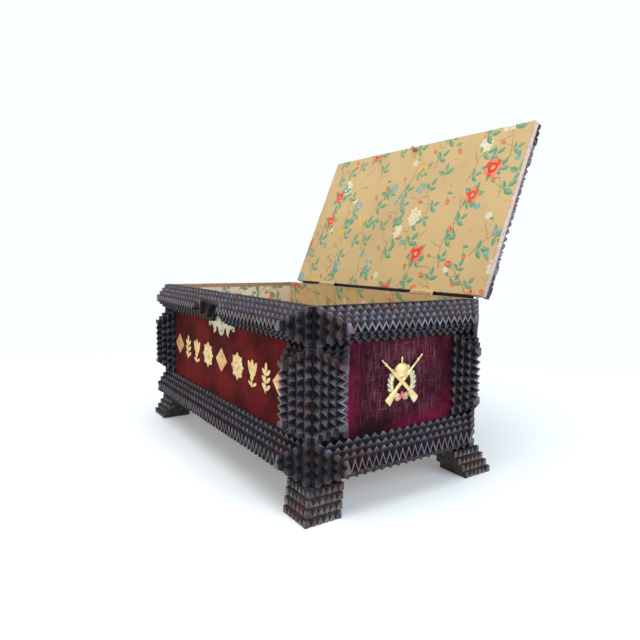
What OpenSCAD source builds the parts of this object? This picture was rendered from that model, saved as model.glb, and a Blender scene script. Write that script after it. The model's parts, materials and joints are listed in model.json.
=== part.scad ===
// Tramp art box: a cedar box dressed with stacks of edge-notched strips, standing on four stepped feet.
// The origin lies on the floor under the middle of the carcase, with the front towards -Y.

/* [Carcase] */
// Length of the carcase along its front
carcase_len = 304; // [270:1:360]
// Depth of the carcase from front to back
carcase_dep = 163; // [140:1:200]
// Height of the carcase walls
wall_h = 127; // [115:1:150]
// Thickness of the cedar boards
board_t = 5; // [4:0.5:8]
// Thickness of the lining paper
paper_t = 0.4; // [0.3:0.1:0.6]
// Thickness of the velvet panels
velvet_t = 0.8; // [0.5:0.1:1.5]

/* [Notched layers] */
// Thickness of one notched layer
layer_t = 4.5; // [3.5:0.5:6]
// Layers in each rail and pilaster
layers = 4; // [2:1:4]
// Step of each layer along its long edges
layer_step = 3.4; // [3:0.1:4.2]
// Step of each rail layer at its ends
end_step = 5; // [3:0.5:7]
// Spacing of the V notches on the innermost strips
notch_pitch = 8; // [7:0.1:9.5]
// How much closer the notches come on each strip further out
pitch_fall = 0.6; // [0:0.1:0.8]
// Depth of the V notches
notch_depth = 3.4; // [2:0.1:3.5]
// Height of the outermost strip of the top rails
top_strip_h = 7.6; // [5:0.2:9]
// Height of the outermost strip of the base rails
base_strip_h = 10.6; // [8:0.2:12.6]
// Width of the outermost strip of the pilasters
pilaster_strip_w = 7.6; // [5:0.2:9]
// Wood left between the opposite notches of an outermost strip
ribbon_w = 2.5; // [2:0.1:3.5]

/* [Feet] */
// Side of each square foot layer
foot_size = 30; // [24:1:36]
// Thickness of one foot layer
foot_layer_t = 5.5; // [4:0.5:7]
// Layers in each foot
foot_layers = 4; // [2:1:5]
// How far the lowest foot layer stands out from the carcase
foot_out = 12.4; // [11:0.2:18]
// Outward shift of each foot layer from the one above
foot_shift = 2.3; // [2:0.1:4.5]
// Spacing of the V notches on the feet
foot_pitch = 5.4; // [4.5:0.1:7]

/* [Lid] */
// How far the lid stands over the carcase at the front and sides
lid_over = 1; // [1:0.5:4]
// Layers in the border of the lid
lid_layers = 3; // [2:1:4]
// Width of the outermost strip of the lid border
lid_strip_w = 7.2; // [5:0.2:9]
// Angle at which the lid stands open
open_angle = 112; // [90:1:116]

/* [Hinges] */
// Distance of each hinge from the middle
hinge_x = 81; // [60:1:100]
// Length of each hinge
hinge_w = 28; // [20:1:36]
// Thickness of a hinge leaf
leaf_t = 0.5; // [0.4:0.1:0.8]
// Outer radius of the hinge knuckles
knuckle_r = 1.8; // [1.6:0.1:2]
// Radius of the hinge pins
pin_r = 0.9; // [0.7:0.1:1]
// Radius of the brads that hold the hinges
brad_r = 0.7; // [0.5:0.1:0.9]
// Depth that a brad reaches into the wood
brad_len = 3; // [2:0.2:3.4]

/* [Lock] */
// Width of the lock case
lock_w = 44; // [36:1:56]
// Height of the lock case
lock_h = 36; // [32:1:44]
// Depth of the lock case
lock_d = 7; // [6:0.5:9]
// Sheet thickness of the lock case
lock_wall = 0.8; // [0.6:0.1:1.2]
// Wood left between the lock and the face of the wall
lock_skin = 1; // [0.8:0.1:1.5]
// Height of the plate of the lock bolt
bolt_h = 9; // [7:0.5:12]
// Thickness of the lock bolt
bolt_t = 2; // [1.6:0.2:2.4]
// Travel of the lock bolt
bolt_travel = 5; // [4:0.5:7]
// Width of the staple on the lid
staple_w = 4; // [3.4:0.2:4.6]
// Thickness of the staple on the lid
staple_t = 2; // [1.4:0.2:3]
// Length of the staple below the lid
staple_h = 7; // [6.4:0.2:9]
// Length of the plate of the staple
staple_plate = 10; // [8:1:16]
// Radius of the round part of the keyhole
key_r = 1.9; // [1.5:0.1:2.4]
// Width of the keyhole slot
key_slot_w = 1.8; // [1.2:0.1:2.4]
// Length of the keyhole slot below its round part
key_slot_h = 5; // [4:0.5:6]
// Radius of the cut in the innermost layer around the keyhole
scoop_r = 13; // [11.5:0.5:15]
// Growth of that cut with each layer outwards
scoop_flare = 4; // [3:0.5:5]

/* [Gilt mounts] */
// Thickness of the stamped gilt mounts
gilt_t = 0.8; // [0.5:0.1:1.5]
// How far the escutcheon reaches past the lock case at each side
esc_over = 8; // [6:0.5:12]
// Radius of the arch of the escutcheon
esc_arch_r = 9; // [8:0.5:10]
// Drop of the escutcheon below the rail
esc_drop = 11; // [9:0.5:14]
// Width of each lozenge
lozenge_w = 25; // [18:1:28]
// Height of each lozenge
lozenge_h = 22; // [16:1:30]
// Gap between the end lozenges of the row and the pilasters
row_margin = 1.2; // [0.6:0.2:6]
// Height of the upright mounts in the row
mount_h = 25; // [20:1:30]
// Width of the crossed rifles on the side panels
trophy_w = 46; // [36:1:54]
// Height of the crossed rifles on the side panels
trophy_h = 35; // [28:1:42]

/* [Clearances] */
// Glue line between two layers of one stack
glue_gap = 0.1; // [0.05:0.05:0.2]
// Gap between neighbouring strips, panels and papers
fit_gap = 0.3; // [0.2:0.1:0.5]
// Gap between the two hinge leaves with the lid closed
leaf_gap = 0.2; // [0.1:0.1:0.4]
// Gap around the hinge knuckles
knuckle_gap = 0.3; // [0.2:0.1:0.5]
// Running clearance of pins and brads in their holes
pin_fit = 0.05; // [0.03:0.01:0.1]
// Gap around the nose of the lock bolt in the staple
bolt_fit = 0.3; // [0.2:0.1:0.4]
// Gap around the staple in its slot
slot_fit = 0.8; // [0.6:0.1:1]

/* [Hidden] */
$fn = 48;

// The four faces, in the order of a quarter turn about the vertical from one to the next
FACES = ["front", "right", "back", "left"];

// Colours
CEDAR = "#a86a4c";
STAINED = "#2f2523";
PAPER = "#cdb487";
FRONT_VELVET = "#5c0f1a";
SIDE_VELVET = "#5a1533";
GILT = "#d9b65c";
BRASS = "#b59a5a";
IRON = "#4a4642";

// Levels and half sizes of the carcase
half_len = carcase_len / 2;
half_dep = carcase_dep / 2;
foot_h = foot_layers * foot_layer_t;
floor_top = foot_h + board_t;
wall_top = foot_h + wall_h;
inner_len = carcase_len - 2 * board_t;
inner_dep = carcase_dep - 2 * board_t;

// Base sizes of the stepped stacks, which grow from their outermost strip
stack_grow = 2 * (layers - 1) * layer_step;
top_rail_h = top_strip_h + stack_grow;
base_rail_h = base_strip_h + stack_grow;
pilaster_w = pilaster_strip_w + stack_grow;
top_rail_low = wall_top - top_rail_h;
base_rail_low = foot_h + fit_gap;
base_rail_top = base_rail_low + base_rail_h;
pilaster_h = top_rail_low - base_rail_top - 2 * fit_gap;
field_h = top_rail_low - base_rail_top - 2 * fit_gap;
field_mid = (top_rail_low + base_rail_top) / 2;
row_half = half_len - fit_gap - pilaster_w - row_margin - lozenge_w / 2;

// Hinge line and the lid in its closed place
lid_gap = 2 * leaf_t + leaf_gap;
lid_low = wall_top + lid_gap;
lid_top = lid_low + board_t;
hinge_y = half_dep + layer_t + knuckle_gap + knuckle_r;
hinge_z = wall_top + lid_gap / 2;
leaf_front = half_dep - board_t + fit_gap;
leaf_back = half_dep + layer_t;
lid_front = -half_dep - lid_over;
lid_back = half_dep + layer_t;
lid_len = carcase_len + 2 * lid_over;
lid_dep = lid_back - lid_front;
border_w = lid_strip_w + 2 * (lid_layers - 1) * layer_step;
knuckle_len = hinge_w / 3;
brad_pitch = hinge_w * 0.6;
brad_y = half_dep - board_t / 2;

// Lock, let into the front wall from inside, and the staple that drops into it
lock_front = -half_dep + lock_skin;
lock_back = lock_front + lock_d;
lock_top = wall_top - fit_gap;
lock_low = lock_top - lock_h;
staple_y = lock_front + (lock_d - lock_wall) / 2;
staple_low = lid_low - staple_h;
staple_plate_t = paper_t;
eye_h = bolt_t + 2 * bolt_fit;
eye_low = staple_low + (staple_w - eye_h) / 2;
nose_low = eye_low + bolt_fit;
nose_start = staple_t / 2 + bolt_fit;
nose_len = bolt_travel + 1;
bolt_low = nose_low + bolt_t - bolt_h;
bolt_len = lock_w / 2 - lock_wall - nose_start - nose_len - 2 * fit_gap;
esc_level = top_rail_low;
esc_w = lock_w + 2 * esc_over;
key_rise = 3.4;
esc_pin_x = esc_w / 2 - 5;
esc_pin_drop = 3;
esc_pin_r = 0.7;
esc_pin_len = 3;
esc_head_r = 1.2;
esc_head_t = 0.5;

// Turn of a face about the vertical, its distance from the middle of the carcase, and its length
function face_turn(face) = 90 * search([face], FACES)[0];
function is_long(face) = face == "front" || face == "back";
function face_out(face) = is_long(face) ? half_dep : half_len;
function face_len(face) = is_long(face) ? carcase_len : carcase_dep;

// Places its children on a face: x along the wall, y upwards, z out from the wall
module on_face(face) {
    rotate([0, 0, face_turn(face)])
        translate([0, -face_out(face), 0])
            rotate([90, 0, 0])
                children();
}

// Swings what is drawn in the closed lid's place to the open lid's place
module lid_pose() {
    translate([0, hinge_y, hinge_z])
        rotate([-open_angle, 0, 0])
            translate([0, -hinge_y, -hinge_z])
                children();
}

// Box centred in x, between two values in y and in z
module bar(w, y_low, y_high, z_low, z_high) {
    translate([-w / 2, y_low, z_low])
        cube([w, y_high - y_low, z_high - z_low]);
}

// One edge of a strip from corner p to corner q, cut with V notches that start a pitch from the corners
function notched_edge(p, q, shift, spacing, depth) =
    let (
        len = norm(q - p),
        along = (q - p) / len,
        inward = [-along.y, along.x],
        teeth = max(1, round(len / spacing)),
        pitch = len / teeth,
        last = teeth - 1 - 2 * shift
    )
    last < 1 ? [p] : [
        p,
        for (i = [1:1:last])
            each [
                p + along * (i - 0.5 + shift) * pitch,
                p + along * (i + shift) * pitch + inward * depth
            ],
        p + along * (last + 0.5 + shift) * pitch
    ];

// Outline of a notched strip, with the shift of the notches on its lower, right, upper and left edges,
// and their depth on its long edges
function notched_outline(w, h, shifts, spacing, depth) =
    let (
        depth_w = w > h ? depth : notch_depth,
        depth_h = w > h ? notch_depth : depth,
        a = [-w / 2, -h / 2],
        b = [w / 2, -h / 2],
        c = [w / 2, h / 2],
        d = [-w / 2, h / 2]
    )
    concat(
        notched_edge(a, b, shifts[0], spacing, depth_w),
        notched_edge(b, c, shifts[1], spacing, depth_h),
        notched_edge(c, d, shifts[2], spacing, depth_w),
        notched_edge(d, a, shifts[3], spacing, depth_h)
    );

// Stack of notched strips, each smaller than the one below it; the outermost is cut to a zigzag ribbon
module layer_stack(w, h, step_w, step_h, count, outer_shifts) {
    for (k = [0:count - 1]) {
        strip_w = w - 2 * k * step_w;
        strip_h = h - 2 * k * step_h;
        outer = k == count - 1;
        depth = outer ? max(notch_depth, min(strip_w, strip_h) - ribbon_w) : notch_depth;
        shifts = outer ? outer_shifts : [0, 0, 0, 0];
        translate([0, 0, k * layer_t])
            linear_extrude(layer_t - glue_gap)
                polygon(notched_outline(strip_w, strip_h, shifts, notch_pitch - k * pitch_fall, depth));
    }
}

// Four-layer rail along a face, with its lower edge at the given height
module rail(face, low, rail_h) {
    on_face(face)
        translate([0, low + rail_h / 2, 0])
            layer_stack(face_len(face) - 2 * fit_gap, rail_h, end_step, layer_step, layers, [0.5, 0, 0, 0]);
}

// Four-layer pilaster beside a corner of a face, on the side given by the sign
module pilaster(face, side) {
    color(STAINED)
        on_face(face)
            translate([side * (face_len(face) / 2 - fit_gap - pilaster_w / 2), field_mid, 0])
                layer_stack(pilaster_w, pilaster_h, layer_step, layer_step, layers, [0, 0.5, 0, 0]);
}

// Foot at the corner given by the signs, its layers shifted outwards towards the floor
module foot(side_x, side_y) {
    color(STAINED)
        for (k = [0:foot_layers - 1]) {
            out = foot_out - k * foot_shift - foot_size / 2;
            translate([side_x * (half_len + out), side_y * (half_dep + out), k * foot_layer_t])
                linear_extrude(foot_layer_t - (k < foot_layers - 1 ? glue_gap : 0))
                    foot_outline(side_x, side_y);
        }
}

// Square foot layer with notches on its two outer edges
module foot_outline(side_x, side_y) {
    r = foot_size / 2;
    a = [-r, -r];
    b = [r, -r];
    c = [r, r];
    d = [-r, r];
    outline = concat(
        [a, b],
        notched_edge(b, c, 0, foot_pitch, notch_depth),
        notched_edge(c, d, 0, foot_pitch, notch_depth)
    );
    polygon([for (p = outline) [side_x * p.x, side_y * p.y]]);
}

// Carcase boards
module bottom_board() {
    color(CEDAR)
        translate([-inner_len / 2, -inner_dep / 2, foot_h])
            cube([inner_len, inner_dep, board_t]);
}

module front_wall() {
    color(CEDAR)
        difference() {
            bar(carcase_len, -half_dep, -half_dep + board_t, foot_h, wall_top);
            bar(lock_w + 2 * fit_gap, lock_front, lock_back + 1, lock_low - fit_gap, wall_top + 1);
            on_face("front") {
                translate([0, esc_level, 0])
                    keyhole(board_t, 0.4);
                escutcheon_pin_places()
                    translate([0, 0, -esc_pin_len - fit_gap])
                        cylinder(r = esc_pin_r + pin_fit, h = esc_pin_len + fit_gap + 1);
            }
        }
}

module back_wall() {
    color(CEDAR)
        difference() {
            bar(carcase_len, half_dep - board_t, half_dep, foot_h, wall_top);
            brad_places(wall_top - brad_len - fit_gap)
                cylinder(r = brad_r + pin_fit, h = brad_len + fit_gap + 1);
        }
}

module side_wall(side) {
    color(CEDAR)
        translate([side * (half_len - board_t / 2), 0, 0])
            bar(board_t, -inner_dep / 2, inner_dep / 2, foot_h, wall_top);
}

// Keyhole cut, measured from the level of the escutcheon and widened by the given amount
module keyhole(depth, widen) {
    translate([0, key_rise, -depth - 1])
        cylinder(r = key_r + widen, h = depth + velvet_t + gilt_t + 2);
    translate([-key_slot_w / 2 - widen, key_rise - key_slot_h - widen, -depth - 1])
        cube([key_slot_w + 2 * widen, key_slot_h + widen, depth + velvet_t + gilt_t + 2]);
}

// Lining papers
module floor_lining() {
    color(PAPER)
        translate([0, 0, floor_top])
            linear_extrude(paper_t)
                square([inner_len - 2 * paper_t - 2 * fit_gap, inner_dep - 2 * paper_t - 2 * fit_gap], center = true);
}

module long_lining(low_y) {
    bar(inner_len, low_y, low_y + paper_t, floor_top, wall_top - fit_gap);
}

module front_lining() {
    color(PAPER)
        difference() {
            long_lining(-inner_dep / 2);
            bar(lock_w + 2 * fit_gap, -half_dep, 0, lock_low - fit_gap, wall_top + 1);
        }
}

module back_lining() {
    color(PAPER)
        long_lining(inner_dep / 2 - paper_t);
}

module side_lining(side) {
    color(PAPER)
        translate([side * (inner_len - paper_t) / 2, 0, 0])
            bar(paper_t, -inner_dep / 2 + paper_t, inner_dep / 2 - paper_t, floor_top, wall_top - fit_gap);
}

// Velvet panel in the field between the rails and pilasters of a face
module velvet(face) {
    on_face(face)
        translate([0, field_mid, 0])
            linear_extrude(velvet_t)
                square([face_len(face) - 2 * pilaster_w - 4 * fit_gap, field_h], center = true);
}

module front_velvet() {
    color(FRONT_VELVET)
        difference() {
            velvet("front");
            on_face("front") {
                translate([0, esc_level, 0])
                    keyhole(board_t, 0.4);
                escutcheon_pin_places()
                    translate([0, 0, -1])
                        cylinder(r = esc_pin_r + pin_fit, h = velvet_t + 2);
            }
        }
}

// Top rails; the front one is cut away in widening rounds so that a key can reach the keyhole
module front_top_rail() {
    color(STAINED)
        difference() {
            rail("front", top_rail_low, top_rail_h);
            on_face("front")
                for (k = [0:layers - 1])
                    translate([0, esc_level, k * layer_t - glue_gap / 2])
                        scoop(scoop_r + k * scoop_flare, k > 1);
        }
}

// Round cut through one layer, carried up through its top edge where it is open
module scoop(r, open) {
    cylinder(r = r, h = layer_t);
    if (open)
        translate([-r, 0, 0])
            cube([2 * r, top_rail_h, layer_t]);
}

module plain_top_rail(face) {
    color(STAINED)
        rail(face, top_rail_low, top_rail_h);
}

module base_rail(face) {
    color(STAINED)
        rail(face, base_rail_low, base_rail_h);
}

// Lid
module lid_board() {
    color(CEDAR)
        lid_pose()
            difference() {
                bar(lid_len, lid_front, lid_back, lid_low, lid_top);
                brad_places(lid_low - 1)
                    cylinder(r = brad_r + pin_fit, h = brad_len + fit_gap + 1);
            }
}

module lid_lining() {
    color(PAPER)
        lid_pose()
            difference() {
                bar(lid_len - 2 * fit_gap, lid_front + fit_gap, lid_back - fit_gap, lid_low - paper_t, lid_low);
                for (side = [-1, 1])
                    translate([side * hinge_x, 0, 0])
                        bar(hinge_w + 2 * fit_gap, leaf_front - fit_gap, lid_back + 1, lid_low - 1, lid_low + 1);
                bar(staple_plate + 2 * fit_gap, staple_y - staple_w / 2 - fit_gap,
                    staple_y + staple_w / 2 + fit_gap, lid_low - 1, lid_low + 1);
            }
}

module lid_velvet() {
    color(FRONT_VELVET)
        lid_pose()
            bar(lid_len - 2 * border_w - 2 * fit_gap, lid_front + border_w + fit_gap,
                lid_back - border_w - fit_gap, lid_top, lid_top + velvet_t);
}

// Border along the front or the back edge of the lid
module lid_long_border(mid_y) {
    color(STAINED)
        lid_pose()
            translate([0, mid_y, lid_top])
                layer_stack(lid_len, border_w, layer_step, layer_step, lid_layers, [0.5, 0, 0, 0]);
}

// Border along a side edge of the lid, between the long borders
module lid_side_border(side) {
    color(STAINED)
        lid_pose()
            translate([side * (lid_len - border_w) / 2, (lid_front + lid_back) / 2, lid_top])
                layer_stack(border_w, lid_dep - 2 * border_w - 2 * fit_gap, layer_step, layer_step,
                    lid_layers, [0, 0.5, 0, 0]);
}

// Hinges
module hinge_place(side) {
    translate([side * hinge_x, 0, 0])
        children();
}

// One leaf with its knuckles: the given thirds of the hinge belong to it
module hinge_leaf(low_z, thirds) {
    difference() {
        union() {
            bar(hinge_w, leaf_front, leaf_back, low_z, low_z + leaf_t);
            for (third = thirds)
                translate([third * knuckle_len, 0, 0]) {
                    bar(knuckle_len - knuckle_gap, leaf_back - 0.5, hinge_y, low_z, low_z + leaf_t);
                    translate([-(knuckle_len - knuckle_gap) / 2, hinge_y, hinge_z])
                        rotate([0, 90, 0])
                            cylinder(r = knuckle_r, h = knuckle_len - knuckle_gap);
                }
        }
        translate([-hinge_w / 2 - 1, hinge_y, hinge_z])
            rotate([0, 90, 0])
                cylinder(r = pin_r + pin_fit, h = hinge_w + 2);
        for (step = [-1, 1])
            translate([step * brad_pitch / 2, brad_y, low_z - 1])
                cylinder(r = brad_r + pin_fit, h = leaf_t + 2);
    }
}

module hinge_box_leaf(side) {
    color(BRASS)
        hinge_place(side)
            hinge_leaf(wall_top, [-1, 1]);
}

module hinge_lid_leaf(side) {
    color(BRASS)
        lid_pose()
            hinge_place(side)
                hinge_leaf(lid_low - leaf_t, [0]);
}

module hinge_pin(side) {
    color(BRASS)
        hinge_place(side)
            translate([-hinge_w / 2, hinge_y, hinge_z])
                rotate([0, 90, 0])
                    cylinder(r = pin_r, h = hinge_w);
}

// Places of the four brads along the back edge, at the given height
module brad_places(level) {
    for (side = [-1, 1])
        for (step = [-1, 1])
            translate([side * hinge_x + step * brad_pitch / 2, brad_y, level])
                children();
}

module box_hinge_brads() {
    color(IRON)
        brad_places(wall_top - brad_len)
            cylinder(r = brad_r, h = brad_len + leaf_t);
}

module lid_hinge_brads() {
    color(IRON)
        lid_pose()
            brad_places(lid_low - leaf_t)
                cylinder(r = brad_r, h = brad_len + leaf_t);
}

// Lock case, open towards the face of the wall, with a slot for the staple and a ledge under the bolt
module lock_case() {
    color(IRON) {
        difference() {
            bar(lock_w, lock_front, lock_back, lock_low, lock_top);
            bar(lock_w - 2 * lock_wall, lock_front - 1, lock_back - lock_wall,
                lock_low + lock_wall, lock_top - lock_wall);
            bar(staple_t + 2 * slot_fit, staple_y - staple_w / 2 - slot_fit,
                staple_y + staple_w / 2 + slot_fit, lock_top - lock_wall - 1, lock_top + 1);
        }
        translate([-nose_start - nose_len - bolt_len / 2, 0, 0])
            bar(bolt_len, staple_y - bolt_t / 2, lock_back - lock_wall, bolt_low - fit_gap - bolt_t, bolt_low - fit_gap);
    }
}

// Lock bolt: a plate with a nose that slides sideways through the staple
module lock_bolt() {
    color(BRASS)
        difference() {
            union() {
                translate([-nose_start - nose_len - bolt_len / 2, 0, 0])
                    bar(bolt_len, staple_y - bolt_t / 2, staple_y + bolt_t / 2, bolt_low, bolt_low + bolt_h);
                translate([-nose_start - (nose_len + 1) / 2, 0, 0])
                    bar(nose_len + 1, staple_y - bolt_t / 2, staple_y + bolt_t / 2, nose_low, nose_low + bolt_t);
            }
            translate([-nose_start - nose_len - bolt_len / 2, staple_y - bolt_t / 2 - 1, bolt_low])
                rotate([-90, 0, 0])
                    cylinder(r = bolt_h / 4, h = bolt_t + 2);
        }
}

// Staple on the lid, with a square eye for the nose of the bolt
module lid_staple() {
    color(BRASS)
        lid_pose()
            difference() {
                union() {
                    bar(staple_plate, staple_y - staple_w / 2, staple_y + staple_w / 2, lid_low - staple_plate_t, lid_low);
                    bar(staple_t, staple_y - staple_w / 2, staple_y + staple_w / 2, staple_low, lid_low);
                }
                bar(staple_t + 2, staple_y - eye_h / 2, staple_y + eye_h / 2, eye_low, eye_low + eye_h);
            }
}

// Escutcheon: an arch over the keyhole, wings under the rail and a scalloped lower edge
module escutcheon() {
    lobe_r = esc_drop * 0.36;
    wing_top = -2 * fit_gap;
    color(GILT)
        on_face("front")
            translate([0, esc_level, 0])
                difference() {
                    translate([0, 0, velvet_t])
                        linear_extrude(gilt_t)
                            union() {
                                circle(r = esc_arch_r);
                                translate([0, lobe_r - esc_drop])
                                    circle(r = lobe_r);
                                for (side = [-1, 1]) {
                                    for (i = [1:3])
                                        translate([side * i * esc_w / 8, wing_top - lobe_r])
                                            circle(r = lobe_r * (1 - 0.08 * i));
                                    translate([side * (esc_w / 2 - lobe_r * 0.6), wing_top - lobe_r * 0.6])
                                        circle(r = lobe_r * 0.6);
                                }
                                translate([-esc_w / 2 + lobe_r * 0.6, wing_top - lobe_r * 1.1])
                                    square([esc_w - lobe_r * 1.2, lobe_r]);
                            }
                    keyhole(1, 0);
                    translate([0, -esc_level, -1])
                        escutcheon_pin_places()
                            cylinder(r = esc_pin_r + pin_fit, h = velvet_t + gilt_t + 2);
                }
}

module escutcheon_pin_places() {
    for (side = [-1, 1])
        translate([side * esc_pin_x, esc_level - esc_pin_drop, 0])
            children();
}

module escutcheon_pins() {
    color(BRASS)
        on_face("front")
            escutcheon_pin_places() {
                translate([0, 0, -esc_pin_len])
                    cylinder(r = esc_pin_r, h = esc_pin_len + velvet_t + gilt_t + esc_head_t);
                translate([0, 0, velvet_t + gilt_t])
                    cylinder(r = esc_head_r, h = esc_head_t);
            }
}

// Row of gilt mounts on the front velvet: place i counts out from the middle, up to 4 at the ends
module row_place(i) {
    on_face("front")
        translate([i * row_half / 4, field_mid, velvet_t])
            linear_extrude(gilt_t)
                children();
}

// Pointed leaf along x from the origin
module leaf(len, w) {
    r = (len * len + w * w) / (4 * w);
    intersection() {
        translate([len / 2, r - w / 2])
            circle(r = r);
        translate([len / 2, w / 2 - r])
            circle(r = r);
    }
}

module lozenge() {
    polygon([[0, -lozenge_h / 2], [lozenge_w / 2, 0], [0, lozenge_h / 2], [-lozenge_w / 2, 0]]);
}

module rosette() {
    circle(r = mount_h * 0.2);
    for (turn = [0:45:315])
        rotate(turn)
            leaf(mount_h * 0.52, mount_h * 0.22);
}

// Tulip: three petals on a short stem
module tulip() {
    translate([0, -mount_h * 0.2]) {
        circle(r = mount_h * 0.14);
        for (turn = [62, 90, 118])
            rotate(turn)
                leaf(mount_h * 0.68, mount_h * 0.26);
    }
    translate([-mount_h * 0.04, -mount_h / 2])
        square([mount_h * 0.08, mount_h * 0.3]);
}

// Sprig: pairs of leaves up a stem
module sprig() {
    translate([-mount_h * 0.03, -mount_h / 2])
        square([mount_h * 0.06, mount_h * 0.8]);
    translate([0, mount_h * 0.16])
        rotate(90)
            leaf(mount_h * 0.34, mount_h * 0.16);
    for (i = [0:2])
        for (turn = [38, 142])
            translate([0, mount_h * (0.24 * i - 0.42)])
                rotate(turn)
                    leaf(mount_h * 0.36, mount_h * 0.15);
}

module gilt_lozenges() {
    color(GILT)
        for (i = [-4, 0, 4])
            row_place(i)
                lozenge();
}

module gilt_rosettes() {
    color(GILT)
        for (i = [-1.2, 1.2])
            row_place(i)
                rosette();
}

module gilt_tulips() {
    color(GILT)
        for (i = [-2.25, 2.25])
            row_place(i)
                tulip();
}

module gilt_sprigs() {
    color(GILT)
        for (i = [-3.12, 3.12])
            row_place(i)
                sprig();
}

// Trophy of crossed rifles, wreath, spiked cap and bow, stamped in one piece
module trophy(face) {
    wreath_r = trophy_h * 0.34;
    wreath_w = trophy_h * 0.1;
    lean = atan(trophy_h / trophy_w);
    reach = norm([trophy_w, trophy_h]);
    color(GILT)
        on_face(face)
            translate([0, field_mid, velvet_t]) {
                linear_extrude(gilt_t)
                    rotate(lean)
                        rifle(reach, 1);
                linear_extrude(gilt_t)
                    rotate(180 - lean)
                        rifle(reach, -1);
                difference() {
                    cylinder(r = wreath_r, h = gilt_t);
                    translate([0, 0, -1])
                        cylinder(r = wreath_r - wreath_w, h = gilt_t + 2);
                }
                linear_extrude(gilt_t) {
                    cap(wreath_r);
                    bow(wreath_r);
                }
            }
}

// Rifle along x, its butt at the low end and its belly on the side given by the sign
module rifle(reach, belly) {
    barrel = reach * 0.022 * belly;
    drop = reach * 0.1 * belly;
    polygon([
        [-reach / 2, -drop * 0.8], [-reach * 0.46, drop * 0.2], [-reach * 0.22, barrel],
        [reach / 2, barrel], [reach / 2, -barrel], [-reach * 0.16, -barrel * 1.6],
        [-reach * 0.26, -drop * 0.45], [-reach * 0.44, -drop]
    ]);
}

// Domed cap with a spike, on the top of the wreath
module cap(wreath_r) {
    dome = wreath_r * 0.5;
    translate([0, wreath_r * 0.75]) {
        circle(r = dome);
        translate([-dome * 1.3, -dome * 0.5])
            square([dome * 2.6, dome * 0.5]);
        polygon([[-dome * 0.3, dome * 0.8], [dome * 0.3, dome * 0.8], [0, trophy_h / 2 - wreath_r * 0.65]]);
    }
}

// Ribbon bow at the foot of the wreath
module bow(wreath_r) {
    half = wreath_r * 0.55;
    translate([0, -wreath_r]) {
        circle(r = half * 0.4);
        for (side = [-half, half])
            polygon([[0, 0.2 * half], [side, 0.6 * half], [side, -0.5 * half], [0, -0.2 * half]]);
    }
}

bottom_board();
front_wall();
side_wall(1);  // right_wall
back_wall();
side_wall(-1);  // left_wall
floor_lining();
front_lining();
side_lining(1);  // right_lining
back_lining();
side_lining(-1);  // left_lining
front_velvet();
color(SIDE_VELVET) velvet("right");  // right_velvet
color(FRONT_VELVET) velvet("back");  // back_velvet
color(SIDE_VELVET) velvet("left");  // left_velvet
front_top_rail();
plain_top_rail("right");  // right_top_rail
plain_top_rail("back");  // back_top_rail
plain_top_rail("left");  // left_top_rail
base_rail("front");  // front_base_rail
base_rail("right");  // right_base_rail
base_rail("back");  // back_base_rail
base_rail("left");  // left_base_rail
pilaster("front", -1);  // front_left_pilaster
pilaster("front", 1);  // front_right_pilaster
pilaster("right", -1);  // right_front_pilaster
pilaster("right", 1);  // right_back_pilaster
pilaster("back", -1);  // back_right_pilaster
pilaster("back", 1);  // back_left_pilaster
pilaster("left", -1);  // left_back_pilaster
pilaster("left", 1);  // left_front_pilaster
foot(-1, -1);  // front_left_foot
foot(1, -1);  // front_right_foot
foot(1, 1);  // back_right_foot
foot(-1, 1);  // back_left_foot
lid_board();
lid_lining();
lid_velvet();
lid_long_border(lid_front + border_w / 2);  // lid_front_border
lid_side_border(1);  // lid_right_border
lid_long_border(lid_back - border_w / 2);  // lid_back_border
lid_side_border(-1);  // lid_left_border
hinge_box_leaf(-1);  // left_hinge_box_leaf
hinge_lid_leaf(-1);  // left_hinge_lid_leaf
hinge_pin(-1);  // left_hinge_pin
hinge_box_leaf(1);  // right_hinge_box_leaf
hinge_lid_leaf(1);  // right_hinge_lid_leaf
hinge_pin(1);  // right_hinge_pin
box_hinge_brads();
lid_hinge_brads();
lock_case();
lock_bolt();
lid_staple();
escutcheon();
escutcheon_pins();
gilt_lozenges();
gilt_rosettes();
gilt_tulips();
gilt_sprigs();
trophy("right");  // right_trophy
trophy("left");  // left_trophy
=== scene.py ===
import json
import random
from math import copysign, cos, hypot, pi, radians, sin

import bmesh
import bpy
from mathutils import Matrix, Vector
from mathutils.geometry import delaunay_2d_cdt
from mathutils.noise import noise_vector, seed_set


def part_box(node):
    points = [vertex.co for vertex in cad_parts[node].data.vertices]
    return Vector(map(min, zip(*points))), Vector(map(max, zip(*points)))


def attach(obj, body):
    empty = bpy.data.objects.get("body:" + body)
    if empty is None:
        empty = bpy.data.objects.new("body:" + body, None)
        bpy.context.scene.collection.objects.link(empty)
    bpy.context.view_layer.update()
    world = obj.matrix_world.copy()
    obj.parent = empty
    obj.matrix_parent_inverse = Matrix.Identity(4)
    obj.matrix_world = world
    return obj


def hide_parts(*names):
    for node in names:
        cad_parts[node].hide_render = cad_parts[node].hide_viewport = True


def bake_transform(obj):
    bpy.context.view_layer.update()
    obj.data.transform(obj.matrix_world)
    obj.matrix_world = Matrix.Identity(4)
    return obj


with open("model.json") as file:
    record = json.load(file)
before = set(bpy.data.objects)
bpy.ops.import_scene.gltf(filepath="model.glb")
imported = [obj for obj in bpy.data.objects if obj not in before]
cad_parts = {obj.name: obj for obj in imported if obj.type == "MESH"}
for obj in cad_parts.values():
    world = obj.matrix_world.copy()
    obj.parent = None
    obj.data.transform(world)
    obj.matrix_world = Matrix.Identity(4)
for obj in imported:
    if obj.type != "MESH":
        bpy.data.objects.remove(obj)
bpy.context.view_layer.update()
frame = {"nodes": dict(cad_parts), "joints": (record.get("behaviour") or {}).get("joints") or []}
NODES = frame["nodes"]
MM = 0.001
TINY = 1e-6

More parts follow.
